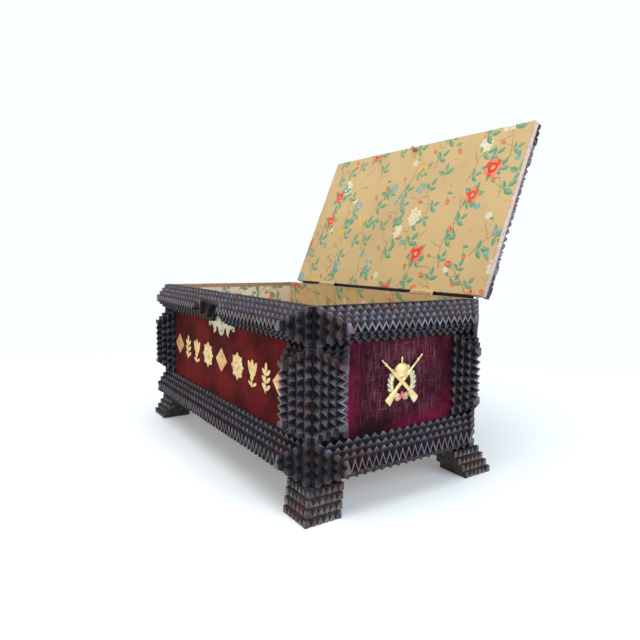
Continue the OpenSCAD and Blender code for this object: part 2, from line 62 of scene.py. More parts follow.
# Notched strips
LAYER_T = 4.5 * MM
GLUE_GAP = 0.1 * MM
LAYER_STEP = 3.4 * MM
END_STEP = 5 * MM
NOTCH_PITCH = 8 * MM
PITCH_FALL = 0.6 * MM
NOTCH_DEPTH = 3.4 * MM
RIBBON_W = 2.5 * MM
RAIL_LAYERS = 4
LID_LAYERS = 3
HAND_CUT = 0.22 * MM
HAND_GRAIN = 2.7 * MM
EDGE_WEAR = 0.22 * MM
# Strip ends take a fifth of the tooth brightness, rub and painted highlight alike.
END_RUB_AND_LIGHT = 0.2
FLAT_LIFT = 0.9
EDGE_LIFT = 0.45
SCOOP_R = 13 * MM
SCOOP_FLARE = 4 * MM
OPENING_SHARE = 0.998
# Tooth brightness on each side of a strip (lower, right, upper, left): rubbed wear with a painted highlight;
# on the rails the lower side stays dark, as painted shade under the overhang.
RAIL_RUB_AND_LIGHT = {"top": (0.12, 0.3, 0.6, 0.3), "base": (0.12, 0.25, 0.4, 0.25)}
PILASTER_RUB_AND_LIGHT = (0.15, 0.2, 0.22, 0.2)
LID_RUB_AND_LIGHT = (0.8, 0.8, 0.8, 0.8)
FILLET_LEN = 280 * MM
FILLET_W = 4.9 * MM
KNUCKLE_CLEAR = 1.1 * MM

# Feet
FOOT_LAYERS = 4
FOOT_SIZE = 30 * MM
FOOT_LAYER_T = 5.5 * MM
FOOT_SHIFT = 2.3 * MM
FOOT_PITCH = 5.4 * MM
FOOT_CUT_TOP = 3.4 * MM
FOOT_CUT_LOW = 0.5 * MM

# Velvet and paper
VELVET_T = 0.8 * MM
VELVET_TUCK = 3.5 * MM
VELVET_STEP = 2.5 * MM
VELVET_RIPPLE = 0.12 * MM
PILE_SHARE = 0.7
PAPER_T = 0.3 * MM
LEAF_COVER = 0.14 * MM
TORN_TOP = 4 * MM
TAB_W = 31 * MM
TAB_T = 0.08 * MM
TAB_LIFT = 0.62 * MM
TAB_OFF_WALL = 0.15 * MM
TAB_OFF_LID = 0.05 * MM
CREASE_OUT = 4.2 * MM

# Keyhole, up from the foot of the front top rail
KEY_RISE = 3.4 * MM
KEY_BORE_R = 2.3 * MM
KEY_DEPTH = 8 * MM
KEY_SLIT = (2.6 * MM, 5.4 * MM, KEY_DEPTH)
KEY_SLIT_RISE = 0.7 * MM

# The lid is drawn closed and swung open about the hinge line
hinge = frame["joints"][0]
HINGE_LINE = Vector(hinge["pos_m"])
OPEN_ANGLE = radians(hinge["range_deg"][1])
SWING_OPEN = (
    Matrix.Translation(HINGE_LINE)
    @ Matrix.Rotation(-OPEN_ANGLE, 4, "X")
    @ Matrix.Translation(-HINGE_LINE)
)
SWING_SHUT = SWING_OPEN.inverted()

half_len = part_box("right_wall")[1].x
half_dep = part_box("back_wall")[1].y
wall_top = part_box("back_wall")[1].z
FACES = ("front", "right", "back", "left")


# Small helpers

def activate(*pieces):
    """Selects these pieces alone, with the first of them active."""
    bpy.ops.object.select_all(action="DESELECT")
    for piece in pieces:
        piece.select_set(True)
    bpy.context.view_layer.objects.active = pieces[0]


def named(name):
    """The object that was just added, under its own name."""
    piece = bpy.context.active_object
    piece.name = name
    piece.data.name = name
    return piece


def add(shape, name, scale=(1, 1, 1), **settings):
    """Adds a primitive, with its place, turn and scale in its mesh."""
    getattr(bpy.ops.mesh, f"primitive_{shape}_add")(**settings)
    piece = named(name)
    piece.scale = scale
    bpy.ops.object.transform_apply()
    return piece


def linked(name, data):
    """A new object in the scene with this data."""
    piece = bpy.data.objects.new(name, data)
    bpy.context.scene.collection.objects.link(piece)
    return piece


def edit(piece):
    """Opens a piece for editing, with everything selected."""
    activate(piece)
    bpy.ops.object.mode_set(mode="EDIT")
    bpy.ops.mesh.select_all(action="SELECT")


def close_edit():
    bpy.ops.object.mode_set(mode="OBJECT")


def pick(piece, test):
    """In edit mode, selects the points whose place passes the test, and what lies between them."""
    shell = bmesh.from_edit_mesh(piece.data)
    for part in (shell.faces, shell.edges, shell.verts):
        for item in part:
            item.select = False
    for point in shell.verts:
        point.select = test(point.co)
    shell.select_flush(True)
    bmesh.update_edit_mesh(piece.data)


def join(name, parts):
    """Joins several objects into the first of them."""
    activate(*parts)
    bpy.ops.object.join()
    return named(name)


def copy_of(template, name, place):
    """A copy with its own mesh, put in its place."""
    mesh = template.data.copy()
    mesh.name = name
    mesh.transform(place)
    return linked(name, mesh)


def discard(*pieces):
    for piece in pieces:
        bpy.data.objects.remove(piece)


def finish_with(piece, kind, **settings):
    """Adds a modifier with these settings and applies it."""
    activate(piece)
    modifier = piece.modifiers.new(kind.lower(), kind)
    for key, value in settings.items():
        setattr(modifier, key, value)
    bpy.ops.object.modifier_apply(modifier=modifier.name)


def cut(piece, *cutters):
    """Cuts these shapes out of a piece."""
    for cutter in cutters:
        finish_with(piece, "BOOLEAN", operation="DIFFERENCE", solver="EXACT", object=cutter)
    discard(*cutters)


def point_outwards(piece):
    edit(piece)
    bpy.ops.mesh.normals_make_consistent(inside=False)
    close_edit()


def dress(piece, body, slot, material, *nodes):
    """Gives a new piece its body and finish, and hides the solids that it stands for; its slot is not used.
    """
    if material is not None:
        piece.data.materials.clear()
        piece.data.materials.append(material)
    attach(piece, body)
    if nodes:
        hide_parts(*nodes)


def axis_of(face):
    """The axis that runs along a face: 0 for x, 1 for y."""
    return FACES.index(face) % 2


def face_place(face, x, z, out):
    """Place on a face: x along it, z up and out from it; the piece's own z points outwards."""
    reach = (half_dep, half_len)[axis_of(face)]
    return (
        Matrix.Rotation(radians(90) * FACES.index(face), 4, "Z")
        @ Matrix.Translation((x, -reach - out, z))
        @ Matrix.Rotation(radians(90), 4, "X")
    )


def face_size(node, face):
    """Length along the face, height and middle height of a solid on that face."""
    low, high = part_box(node)
    axis = axis_of(face)
    return high[axis] - low[axis], high.z - low.z, (high.z + low.z) / 2


def shut_box(node):
    """Lowest and highest corner of a lid solid, with the lid shut."""
    corners = [SWING_SHUT @ point.co for point in NODES[node].data.vertices]
    low = Vector(min(c[i] for c in corners) for i in range(3))
    high = Vector(max(c[i] for c in corners) for i in range(3))
    return low, high


# Materials

def nodes_of(name):
    """A new material with its shader."""
    material = bpy.data.materials.new(name)
    material.use_nodes = True
    tree = material.node_tree
    shader = tree.nodes["Principled BSDF"]
    return material, tree, shader


def feed(tree, made, inputs):
    """Sets a node's inputs, each to a plain value or to another node's output."""
    for key, value in inputs.items():
        socket = made.inputs[key]
        if isinstance(value, bpy.types.NodeSocket):
            tree.links.new(value, socket)
        else:
            socket.default_value = (*value, 1.0) if socket.type == "RGBA" else value


def put(tree, kind, inputs=None, **settings):
    """Adds a node with these settings and inputs."""
    made = tree.nodes.new("ShaderNode" + kind)
    for key, value in settings.items():
        setattr(made, key, value)
    feed(tree, made, inputs or {})
    return made


def object_place(tree, scale=(1, 1, 1)):
    place = put(tree, "TexCoord").outputs["Object"]
    return put(tree, "Mapping", {"Vector": place, "Scale": scale}).outputs["Vector"]


def noise(tree, place, scale, detail=4.0, roughness=0.55):
    made = put(tree, "TexNoise", {"Vector": place, "Scale": scale, "Detail": detail, "Roughness": roughness})
    return made.outputs["Fac"]


def between(tree, value, low, high, low_out=0.0, high_out=1.0):
    """Maps a value from one range to another, clamped."""
    return put(tree, "MapRange", {
        "Value": value, "From Min": low, "From Max": high, "To Min": low_out, "To Max": high_out,
    }).outputs["Result"]


def blend(tree, share, first, second):
    """Mixes two colours; each is a plain colour or another node's output."""
    return put(tree, "Mix", {0: share, 6: first, 7: second}, data_type="RGBA").outputs[2]


def coat(tree, colour, field, low, high, share, other):
    """Lays another colour over this one where a field rises from low to high, up to the given share."""
    return blend(tree, between(tree, field, low, high, 0.0, share), colour, other)


def product(tree, first, second, kind="MULTIPLY"):
    return put(tree, "Math", {0: first, 1: second}, operation=kind).outputs["Value"]


def own_value(tree, name, output="Fac"):
    return put(tree, "Attribute", attribute_name=name).outputs[output]


def bump(tree, height, strength, distance):
    return put(tree, "Bump", {"Height": height, "Strength": strength, "Distance": distance}).outputs["Normal"]


def stained_cedar(name, dull, bright):
    """Dark stained cedar, red brown in patches: near black in the cuts, kept dark there as painted shade;
    teeth rubbed to a dusty grey that carries a painted lavender highlight, with light lines of wear and
    painted highlight on the edges.
    """
    material, tree, shader = nodes_of(name)
    place = object_place(tree)
    patches = noise(tree, place, 38.0, 5.0)
    streaks = noise(tree, place, 150.0, 4.0, 0.65)
    specks = noise(tree, place, 620.0, 3.0, 0.7)
    flecks = noise(tree, place, 95.0, 2.0)
    tip = own_value(tree, "tip")
    colour = blend(tree, own_value(tree, "tone"), (0.008, 0.009, 0.013), (0.020, 0.018, 0.024))
    colour = coat(tree, colour, patches, 0.5, 0.66, 0.6, (0.050, 0.020, 0.015))
    colour = coat(tree, colour, specks, 0.58, 0.74, 0.5, (0.110, 0.068, 0.052))
    # Dusty grey of the teeth: dust with a painted lavender highlight.
    dust_and_highlight = blend(tree, between(tree, streaks, 0.42, 0.60), dull, bright)
    dust_and_highlight = coat(tree, dust_and_highlight, patches, 0.50, 0.66, 0.8, (0.180, 0.098, 0.082))
    dust_and_highlight = coat(tree, dust_and_highlight, flecks, 0.52, 0.60, 0.65, (0.210, 0.125, 0.112))
    # The teeth take it towards their tips and not at their roots, so the cuts keep painted shade.
    tooth = product(tree, between(tree, tip, 0.02, 0.06), between(tree, tip, 0.0, 0.4, 0.1, 0.85))
    tooth = product(tree, tooth, own_value(tree, "front"))
    colour = blend(tree, tooth, colour, dust_and_highlight)
    # Light lines on the bevelled edges: edge wear with a painted highlight.
    rubbed = product(tree, own_value(tree, "rub_and_light"), between(tree, tip, 0.0, 0.6))
    rubbed = product(tree, rubbed, between(tree, specks, 0.35, 0.55, 0.35, 1.0))
    feed(tree, shader, {
        "Base Color": blend(tree, rubbed, colour, (0.34, 0.31, 0.35)),
        "Roughness": between(tree, streaks, 0.3, 0.7, 0.5, 0.7),
        "Specular IOR Level": 0.18,
        "Normal": bump(tree, specks, 0.5, 0.0006),
    })
    return material


def bare_cedar(name, early, late):
    """Bare cigar-box cedar, pinkish brown with fine straight grain, stained on the outer sides of the box."""
    material, tree, shader = nodes_of(name)
    grain = noise(tree, object_place(tree, (7, 90, 90)), 5.0, 6.0, 0.65)
    fine = noise(tree, object_place(tree, (30, 600, 600)), 4.0, 3.0)
    patches = noise(tree, object_place(tree), 22.0, 3.0)
    colour = blend(tree, between(tree, grain, 0.35, 0.65), early, late)
    colour = coat(tree, colour, fine, 0.5, 0.75, 0.5, (0.20, 0.085, 0.05))
    colour = coat(tree, colour, patches, 0.55, 0.75, 0.5, (0.16, 0.07, 0.045))
    place = put(tree, "SeparateXYZ", {0: put(tree, "TexCoord").outputs["Object"]}).outputs
    sides = []
    for axis, half in (("X", half_len), ("Y", half_dep)):
        distance = put(tree, "Math", {0: place[axis]}, operation="ABSOLUTE").outputs[0]
        sides.append(between(tree, distance, half - 1.2 * MM, half - 0.4 * MM))
    below_top = between(tree, place["Z"], wall_top, wall_top + 0.5 * MM, 0.96, 0.0)
    stained = product(tree, product(tree, *sides, "MAXIMUM"), below_top)
    feed(tree, shader, {
        "Base Color": blend(tree, stained, colour, (0.014, 0.010, 0.010)),
        "Roughness": between(tree, grain, 0.3, 0.7, 0.55, 0.75),
        "Normal": bump(tree, fine, 0.3, 0.0004),
    })
    return material


def lining_paper():
    """Old printed paper: the print is the sheet's own colour, dulled by foxing, grime and rubbing."""
    material, tree, shader = nodes_of("lining_paper")
    place = object_place(tree)
    grime = noise(tree, place, 14.0, 5.0, 0.6)
    spots = noise(tree, place, 150.0, 2.0, 0.5)
    rubbing = noise(tree, object_place(tree, (260, 520, 520)), 1.0, 4.0, 0.7)
    fibres = noise(tree, object_place(tree, (900, 300, 900)), 1.0, 3.0)
    colour = own_value(tree, "print", "Color")
    colour = coat(tree, colour, grime, 0.4, 0.72, 0.3, (0.36, 0.24, 0.12))
    colour = coat(tree, colour, rubbing, 0.56, 0.74, 0.55, (0.60, 0.46, 0.28))
    colour = coat(tree, colour, spots, 0.68, 0.78, 0.5, (0.24, 0.14, 0.06))
    feed(tree, shader, {
        "Base Color": colour, "Roughness": 0.78, "Specular IOR Level": 0.25,
        "Normal": bump(tree, fibres, 0.25, 0.0003),
    })
    return material


def velvet(name, deep, pile, fresh_and_lit, bald, bald_share, sheen, sheen_share):
    """Cotton velvet with brushed pile, fresh along its edges with painted light that is strongest along the
    bottom, its threads rubbed bald in the middle.
    """
    material, tree, shader = nodes_of(name)
    place = object_place(tree)
    brushed = noise(tree, place, 24.0, 4.0, 0.6)
    tufts = noise(tree, place, 900.0, 2.0, 0.6)
    warp = noise(tree, object_place(tree, (800, 800, 70)), 1.0, 3.0, 0.7)
    weft = noise(tree, object_place(tree, (80, 80, 800)), 1.0, 3.0, 0.7)
    wear_and_edge_light = own_value(tree, "wear_and_edge_light")
    # Edge colour: fresh pile with painted light; the pile colour further in.
    colour = blend(tree, between(tree, wear_and_edge_light, 0.0, 0.5), fresh_and_lit, pile)
    colour = blend(tree, between(tree, brushed, 0.40, 0.62), deep, colour)
    colour = coat(tree, colour, tufts, 0.45, 0.75, 0.4, deep)
    threads = product(tree, between(tree, warp, 0.50, 0.74), between(tree, weft, 0.54, 0.78), "MAXIMUM")
    rubbed = product(tree, product(tree, threads, wear_and_edge_light), between(tree, brushed, 0.36, 0.58, 0.3, 1.0))
    feed(tree, shader, {
        "Base Color": blend(tree, product(tree, rubbed, bald_share), colour, bald),
        "Roughness": 0.9, "Specular IOR Level": 0.1,
        "Sheen Weight": sheen_share, "Sheen Roughness": 0.45, "Sheen Tint": sheen,
        "Normal": bump(tree, tufts, 0.5, 0.0005),
    })
    return material


def stamped_metal(name, bright, dull, grime, roughness, metallic):
    """Thin stamped sheet: bright and dull in patches, with dirt in the pits."""
    material, tree, shader = nodes_of(name)
    place = object_place(tree)
    patches = noise(tree, place, 130.0, 4.0, 0.6)
    pits = noise(tree, place, 900.0, 2.0, 0.6)
    colour = blend(tree, between(tree, patches, 0.4, 0.65), bright, dull)
    feed(tree, shader, {
        "Base Color": coat(tree, colour, pits, 0.6, 0.76, 0.55, grime),
        "Metallic": metallic,
        "Roughness": between(tree, patches, 0.35, 0.7, roughness - 0.08, roughness + 0.12),
        "Normal": bump(tree, pits, 0.3, 0.0004),
    })
    return material


# Dull and bright dusty colours of the teeth: dust with a painted highlight, lavender on the carcase, tan on
# the feet.
STAINED = stained_cedar("stained_cedar", (0.160, 0.138, 0.175), (0.335, 0.335, 0.460))
WORN_STAINED = stained_cedar("worn_stained_cedar", (0.055, 0.078, 0.125), (0.320, 0.290, 0.225))
CEDAR = bare_cedar("bare_cedar", (0.30, 0.145, 0.085), (0.52, 0.32, 0.22))
PALE_CEDAR = bare_cedar("pale_cedar", (0.52, 0.36, 0.28), (0.80, 0.64, 0.53))
PAPER = lining_paper()
CRIMSON = velvet("crimson_velvet", (0.040, 0.003, 0.004), (0.150, 0.007, 0.009), (0.165, 0.007, 0.009),
                 (0.24, 0.04, 0.03), 0.45, (0.85, 0.25, 0.22), 0.10)
# The plum's edge colour is much brighter than its pile: fresh pile with painted light.
PLUM = velvet("plum_velvet", (0.020, 0.002, 0.005), (0.080, 0.004, 0.019), (0.205, 0.005, 0.048),
              (0.32, 0.18, 0.22), 0.6, (0.8, 0.40, 0.5), 0.05)
GILT = stamped_metal("gilt_stamping", (0.86, 0.68, 0.36), (0.72, 0.50, 0.22), (0.20, 0.12, 0.05), 0.42, 0.75)
COPPER_GILT = stamped_metal("copper_gilt_stamping", (0.78, 0.50, 0.24), (0.60, 0.34, 0.14),
                            (0.16, 0.08, 0.04), 0.42, 0.75)
LAUREL = stamped_metal("laurel_green_gilt", (0.62, 0.62, 0.40), (0.40, 0.48, 0.33),
                       (0.14, 0.14, 0.08), 0.45, 0.6)
RIBBON = stamped_metal("ribbon_red_gilt", (0.75, 0.30, 0.24), (0.60, 0.16, 0.13),
                       (0.22, 0.06, 0.05), 0.5, 0.4)
PALE_BRASS = stamped_metal("pale_brass", (0.60, 0.55, 0.42), (0.48, 0.42, 0.28),
                           (0.16, 0.13, 0.08), 0.42, 0.85)
OLD_BRASS = stamped_metal("old_brass", (0.48, 0.36, 0.17), (0.30, 0.21, 0.10), (0.08, 0.06, 0.04), 0.45, 0.9)
IRON = stamped_metal("dark_iron", (0.16, 0.14, 0.13), (0.09, 0.08, 0.075), (0.14, 0.06, 0.03), 0.5, 0.85)


# Notched strips

def cut_side(strip, side, w, h, shifted, depth, pitch):
    """Cuts V notches into one side of a strip's outline: 0 lower, 1 right, 2 upper, 3 left."""
    along = 0 if side in (0, 2) else 1
    across = 1 - along
    length = (w, h)[along]
    edge = (w, h)[across] / 2 * (-1 if side in (0, 3) else 1)
    teeth = max(1, round(length / pitch))
    half_pitch = length / teeth / 2
    first = 3 if shifted else 2
    last = 2 * teeth - first
    if last < first:
        return

    def on_side(place):
        return abs(place[across] - edge) < TINY

    def is_notch(place):
        step = round((place[along] + length / 2) / half_pitch)
        return on_side(place) and first <= step <= last and (step - first) % 2 == 0

    pick(strip, on_side)
    bpy.ops.mesh.subdivide(number_cuts=teeth - 1)
    pick(strip, on_side)
    bpy.ops.mesh.subdivide(number_cuts=1)
    pick(strip, is_notch)
    inward = [0.0, 0.0, 0.0]
    inward[across] = -copysign(depth, edge)
    bpy.ops.transform.translate(value=inward)


def start_outline(w, h):
    """The bare outline of a strip, open for editing."""
    strip = add("plane", "strip", (w, h, 1), size=1)
    edit(strip)
    bpy.ops.mesh.delete(type="ONLY_FACE")
    return strip


def thicken_outline(thickness):
    bpy.ops.mesh.select_all(action="SELECT")
    bpy.ops.mesh.edge_face_add()
    bpy.ops.mesh.extrude_region_move(TRANSFORM_OT_translate={"value": (0, 0, thickness)})


def mark_wear_and_light(strip, w, h, tone, rub_and_light, all_over):
    """Notes the tone of a strip for the stain, and how bright its teeth are on each of its sides: rubbed wear
    with a painted highlight, less on a side in painted shade.
    """
    tips = strip.data.attributes.new("tip", "FLOAT", "POINT")
    tones = strip.data.attributes.new("tone", "FLOAT", "POINT")
    for point in strip.data.vertices:
        x, y = point.co.xy
        at_side = (y < TINY - h / 2, x > w / 2 - TINY, y > h / 2 - TINY, x < TINY - w / 2)
        at_end = at_side[1] or at_side[3] if w > h else at_side[0] or at_side[2]
        bright = max([all_over] + [r for r, at in zip(rub_and_light, at_side) if at])
        tips.data[point.index].value = END_RUB_AND_LIGHT * bright if at_end else bright
        tones.data[point.index].value = tone


def notched_stack(w, h, step_w, step_h, count, outer_side, chance, rub_and_light, ribbon, all_over=0.0):
    """Stack of notched strips, each smaller than the one below; the outermost is cut to a zigzag ribbon."""
    strips = []
    for k in range(count):
        strip_w = w - 2 * k * step_w
        strip_h = h - 2 * k * step_h
        outer = k == count - 1
        strip = start_outline(strip_w, strip_h)
        for side in range(4):
            long_side = (side in (0, 2)) == (strip_w > strip_h)
            depth = NOTCH_DEPTH
            if outer and long_side:
                depth = max(NOTCH_DEPTH, min(strip_w, strip_h) - RIBBON_W)
            pitch = NOTCH_PITCH - k * PITCH_FALL
            cut_side(strip, side, strip_w, strip_h, outer and side == outer_side, depth, pitch)
        thicken_outline(LAYER_T - GLUE_GAP)
        close_edit()
        mark_wear_and_light(strip, strip_w, strip_h, chance.random(), rub_and_light, ribbon if outer else all_over)
        strip.data.transform(Matrix.Translation((0, 0, k * LAYER_T)))
        strips.append(strip)
    return join("stack", strips)


def hand_finish(piece, seed, flats=True, upward_dust_and_light=0.0):
    """Makes the cuts uneven, as by a pocket knife, and rubs the edges of a piece; in its own frame, marks the
    faces that take the dusty grey with its painted highlight, a share of it on upward facets as dust and
    painted light, and the bevelled edges that take lines of wear and painted highlight.
    """
    point_outwards(piece)
    seed_set(seed + 1)
    for point in piece.data.vertices:
        point.co += HAND_CUT * noise_vector(point.co / HAND_GRAIN)
    finish_with(piece, "BEVEL", width=EDGE_WEAR, segments=1, limit_method="ANGLE", angle_limit=radians(35))
    fronts = piece.data.attributes.new("front", "FLOAT", "FACE")
    edge_rub_and_light = piece.data.attributes.new("rub_and_light", "FLOAT", "FACE")
    for side in piece.data.polygons:
        lift = abs(side.normal.z)
        front = lift > FLAT_LIFT or not flats
        # Outward faces take the dusty grey and its painted highlight in full, upward facets a share as dust
        # and painted light, the rest keep the dark stain.
        fronts.data[side.index].value = 1.0 if front else upward_dust_and_light if side.normal.y > 0.3 else 0.0
        edge_rub_and_light.data[side.index].value = 1.0 if flats and EDGE_LIFT < lift <= FLAT_LIFT else 0.0


def cut_scoop(rail):
    """Cuts the front top rail away in widening rounds, so that a key can reach the keyhole."""
    rail_h = face_size("front_top_rail", "front")[1]
    cutters = []
    for k in range(RAIL_LAYERS):
        r = SCOOP_R + k * SCOOP_FLARE
        level = (k + 0.5) * LAYER_T - GLUE_GAP / 2
        low = (0, -rail_h / 2, level)
        cutters.append(add("cylinder", "round", vertices=48, radius=r, depth=LAYER_T, location=low))
        if k > 1:
            opening = (2 * r * OPENING_SHARE, 1.1 * rail_h, LAYER_T)
            cutters.append(add("cube", "opening", opening, size=1, location=(0, 0, level)))
    cut(rail, *cutters)


def make_rails(chance):
    for level in ("top", "base"):
        for face in FACES:
            node = f"{face}_{level}_rail"
            along, height, middle = face_size(node, face)
            rail = notched_stack(along, height, END_STEP, LAYER_STEP, RAIL_LAYERS, 0, chance,
                                 RAIL_RUB_AND_LIGHT[level], 0.3)
            if node == "front_top_rail":
                cut_scoop(rail)
            rail.name = node + "_strips"
            hand_finish(rail, chance.randrange(10000), upward_dust_and_light=0.15)
            rail.data.transform(face_place(face, 0, middle, 0))
            dress(rail, "box", "stained_cedar", STAINED, node)


def make_pilasters(chance):
    w, h, middle = face_size("front_left_pilaster", "front")
    template = notched_stack(w, h, LAYER_STEP, LAYER_STEP, RAIL_LAYERS, 1, chance, PILASTER_RUB_AND_LIGHT, 0.25)
    for i, face in enumerate(FACES):
        axis = axis_of(face)
        for side, neighbour in ((-1, FACES[i - 1]), (1, FACES[(i + 1) % 4])):
            node = f"{face}_{neighbour}_pilaster"
            low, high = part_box(node)
            outer = max(abs(low[axis]), abs(high[axis]))
            pilaster = copy_of(template, node + "_strips", Matrix.Identity(4))
            hand_finish(pilaster, chance.randrange(10000), upward_dust_and_light=0.65)
            pilaster.data.transform(face_place(face, side * (outer - w / 2), middle, 0))
            dress(pilaster, "box", "stained_cedar", STAINED, node)
    discard(template)


def foot_layer(tone):
    """Square layer of a foot; its two outer sides have notches that run out towards the floor."""
    strip = start_outline(FOOT_SIZE, FOOT_SIZE)
    for side in (1, 2):
        cut_side(strip, side, FOOT_SIZE, FOOT_SIZE, False, FOOT_CUT_LOW, FOOT_PITCH)
    thicken_outline(FOOT_LAYER_T - GLUE_GAP)
    deeper = FOOT_CUT_TOP - FOOT_CUT_LOW
    notch_line = FOOT_SIZE / 2 - FOOT_CUT_LOW
    for axis in (0, 1):
        pick(strip, lambda place: place.z > FOOT_LAYER_T / 2 and abs(place[axis] - notch_line) < TINY)
        value = [0.0, 0.0, 0.0]
        value[axis] = -deeper
        bpy.ops.transform.translate(value=value)
    bpy.ops.mesh.select_all(action="SELECT")
    bpy.ops.mesh.quads_convert_to_tris(quad_method="SHORTEST_DIAGONAL")
    close_edit()
    mark_wear_and_light(strip, FOOT_SIZE, FOOT_SIZE, tone, (0.0, 0.0, 0.0, 0.0), 0.8)
    return strip


def make_feet(chance):
    layers = []
    for k in range(FOOT_LAYERS):
        layer = foot_layer(chance.random())
        layer.data.transform(Matrix.Translation((-k * FOOT_SHIFT, -k * FOOT_SHIFT, k * FOOT_LAYER_T)))
        layers.append(layer)
    template = join("foot", layers)
    corners = {"back_right_foot": 0, "back_left_foot": 90, "front_left_foot": 180, "front_right_foot": 270}
    for node, turn in corners.items():
        low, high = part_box(node)
        out_x = high.x - FOOT_SIZE / 2 if high.x > 0 else low.x + FOOT_SIZE / 2
        out_y = high.y - FOOT_SIZE / 2 if high.y > 0 else low.y + FOOT_SIZE / 2
        place = Matrix.Translation((out_x, out_y, 0)) @ Matrix.Rotation(radians(turn), 4, "Z")
        foot = copy_of(template, node + "_layers", place)
        hand_finish(foot, chance.randrange(10000), flats=False)
        # Upright tooth faces take the dusty tan with its painted highlight in full; step tops and the sloping
        # notch faces take little, as painted shade in the notches.
        for side, front in zip(foot.data.polygons, foot.data.attributes["front"].data):
            front.value = 1.0 if max(abs(side.normal.x), abs(side.normal.y)) > 0.88 else 0.12
        flatten_sole(foot)
        dress(foot, "box", "stained_cedar", WORN_STAINED, node)
    discard(template)


def flatten_sole(foot):
    """Lets the foot stand flat on the floor, with its top against the carcase."""
    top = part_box("front_left_foot")[1].z
    for point in foot.data.vertices:
        point.co.z = min(max(point.co.z, 0.0), top)


def make_lid_borders(chance):
    board_top = shut_box("lid_board")[1].z
    outwards = {"front": (0, -1, 0), "right": (1, 0, 0), "back": (0, 1, 0), "left": (-1, 0, 0)}
    for side, outward in outwards.items():
        node = f"lid_{side}_border"
        low, high = shut_box(node)
        middle = (low + high) / 2
        outer_side = 0 if side in ("front", "back") else 1
        border = notched_stack(high.x - low.x, high.y - low.y, LAYER_STEP, LAYER_STEP, LID_LAYERS, outer_side,
                               chance, LID_RUB_AND_LIGHT, 0.8, 0.5)
        border.name = node + "_strips"
        hand_finish(border, chance.randrange(10000), flats=False)
        # Faces that look out from the lid take the dusty grey with its painted highlight in full, the others
        # less.
        for edge, front in zip(border.data.polygons, border.data.attributes["front"].data):
            front.value = 1.0 if edge.normal.dot(Vector(outward)) > 0.2 else 0.3
        border.data.transform(SWING_OPEN @ Matrix.Translation((middle.x, middle.y, board_top)))
        dress(border, "lid", "stained_cedar", STAINED, node)


def make_lid_fillet():
    """A plain stained strip along the back edge of the lid, over the hinge knuckles."""
    high = shut_box("lid_board")[1]
    low = shut_box("left_hinge_pin")[1].z + KNUCKLE_CLEAR
    place = (0, high.y + FILLET_W / 2, (high.z + low) / 2)
    fillet = add("cube", "lid_back_fillet", (FILLET_LEN, FILLET_W, high.z - low), size=1, location=place)
    finish_with(fillet, "BEVEL", width=0.4 * MM, segments=2)
    fillet.data.transform(SWING_OPEN)
    dress(fillet, "lid", "stained_cedar", STAINED)


# Velvet panels

def velvet_panel(name, w, h, seed):
    """A panel of velvet, a little uneven, tucked under the strips around it."""
    columns, rows = round(w / VELVET_STEP), round(h / VELVET_STEP)
    panel = add("grid", name, (w, h, 1), x_subdivisions=columns, y_subdivisions=rows, size=1)
    edit(panel)
    bpy.ops.transform.vertex_random(offset=VELVET_RIPPLE, normal=1.0, seed=seed)
    bpy.ops.mesh.vertices_smooth(factor=0.5)
    close_edit()
    # Wear share: none along the sides and the bottom edge, half at the top edge under the rail, full in the
    # middle; where it is low the velvet takes the fresh pile colour with painted light, so the bottom edge is
    # lit most.
    wear_and_edge_light = panel.data.attributes.new("wear_and_edge_light", "FLOAT", "POINT")
    for point, mark in zip(panel.data.vertices, wear_and_edge_light.data):
        x, y = 2 * point.co.x / w, 2 * point.co.y / h
        edge = max(abs(x), -y, 0.7 * y)
        mark.value = min(max((0.95 - edge) / 0.5, 0.0), 1.0)
    finish_with(panel, "SOLIDIFY", thickness=VELVET_T * PILE_SHARE, offset=-1)
    return panel


def cut_keyhole(panel, level):
    """Lets the keyhole through a panel that lies flat in its own frame."""
    eye = (0, level + KEY_RISE, 0)
    bore = add("cylinder", "bore", vertices=24, radius=KEY_BORE_R, depth=KEY_DEPTH, location=eye)
    slit = add("cube", "slit", KEY_SLIT, size=1, location=(0, level + KEY_SLIT_RISE, 0))
    cut(panel, bore, slit)


def make_velvets():
    for number, face in enumerate(FACES):
        node = f"{face}_velvet"
        along, height, middle = face_size(node, face)
        w = along + 2 * VELVET_TUCK
        h = height + 2 * VELVET_TUCK
        panel = velvet_panel(node + "_panel", w, h, 20 + number)
        if face == "front":
            cut_keyhole(panel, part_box("front_top_rail")[0].z - middle)
        panel.data.transform(face_place(face, 0, middle, VELVET_T))
        slot, material = ("plum_velvet", PLUM) if axis_of(face) else ("crimson_velvet", CRIMSON)
        dress(panel, "box", slot, material, node)
    low, high = shut_box("lid_velvet")
    middle = (low + high) / 2
    w = high.x - low.x + 2 * VELVET_TUCK
    h = high.y - low.y + 2 * VELVET_TUCK
    panel = velvet_panel("lid_velvet_panel", w, h, 30)
    panel.data.transform(SWING_OPEN @ Matrix.Translation((middle.x, middle.y, high.z)))
    dress(panel, "lid", "crimson_velvet", CRIMSON, "lid_velvet")


# Printed lining paper; the print is drawn in millimetres

GROUND = (0.64, 0.46, 0.225)
FADED = (0.78, 0.71, 0.58)
ROSE_RED = (0.78, 0.085, 0.04)
ROSE_LIGHT = (0.88, 0.24, 0.14)
ROSE_DEEP = (0.50, 0.035, 0.025)
HEART = (0.86, 0.52, 0.14)
LEAF_DARK = (0.10, 0.31, 0.18)
LEAF_LIGHT = (0.20, 0.43, 0.28)
STEM_GREEN = (0.20, 0.22, 0.08)
TWIG_BROWN = (0.24, 0.14, 0.05)
PETAL_WHITE = (0.80, 0.72, 0.55)
PETAL_BLUE = (0.17, 0.40, 0.43)
PETAL_YELLOW = (0.80, 0.50, 0.07)


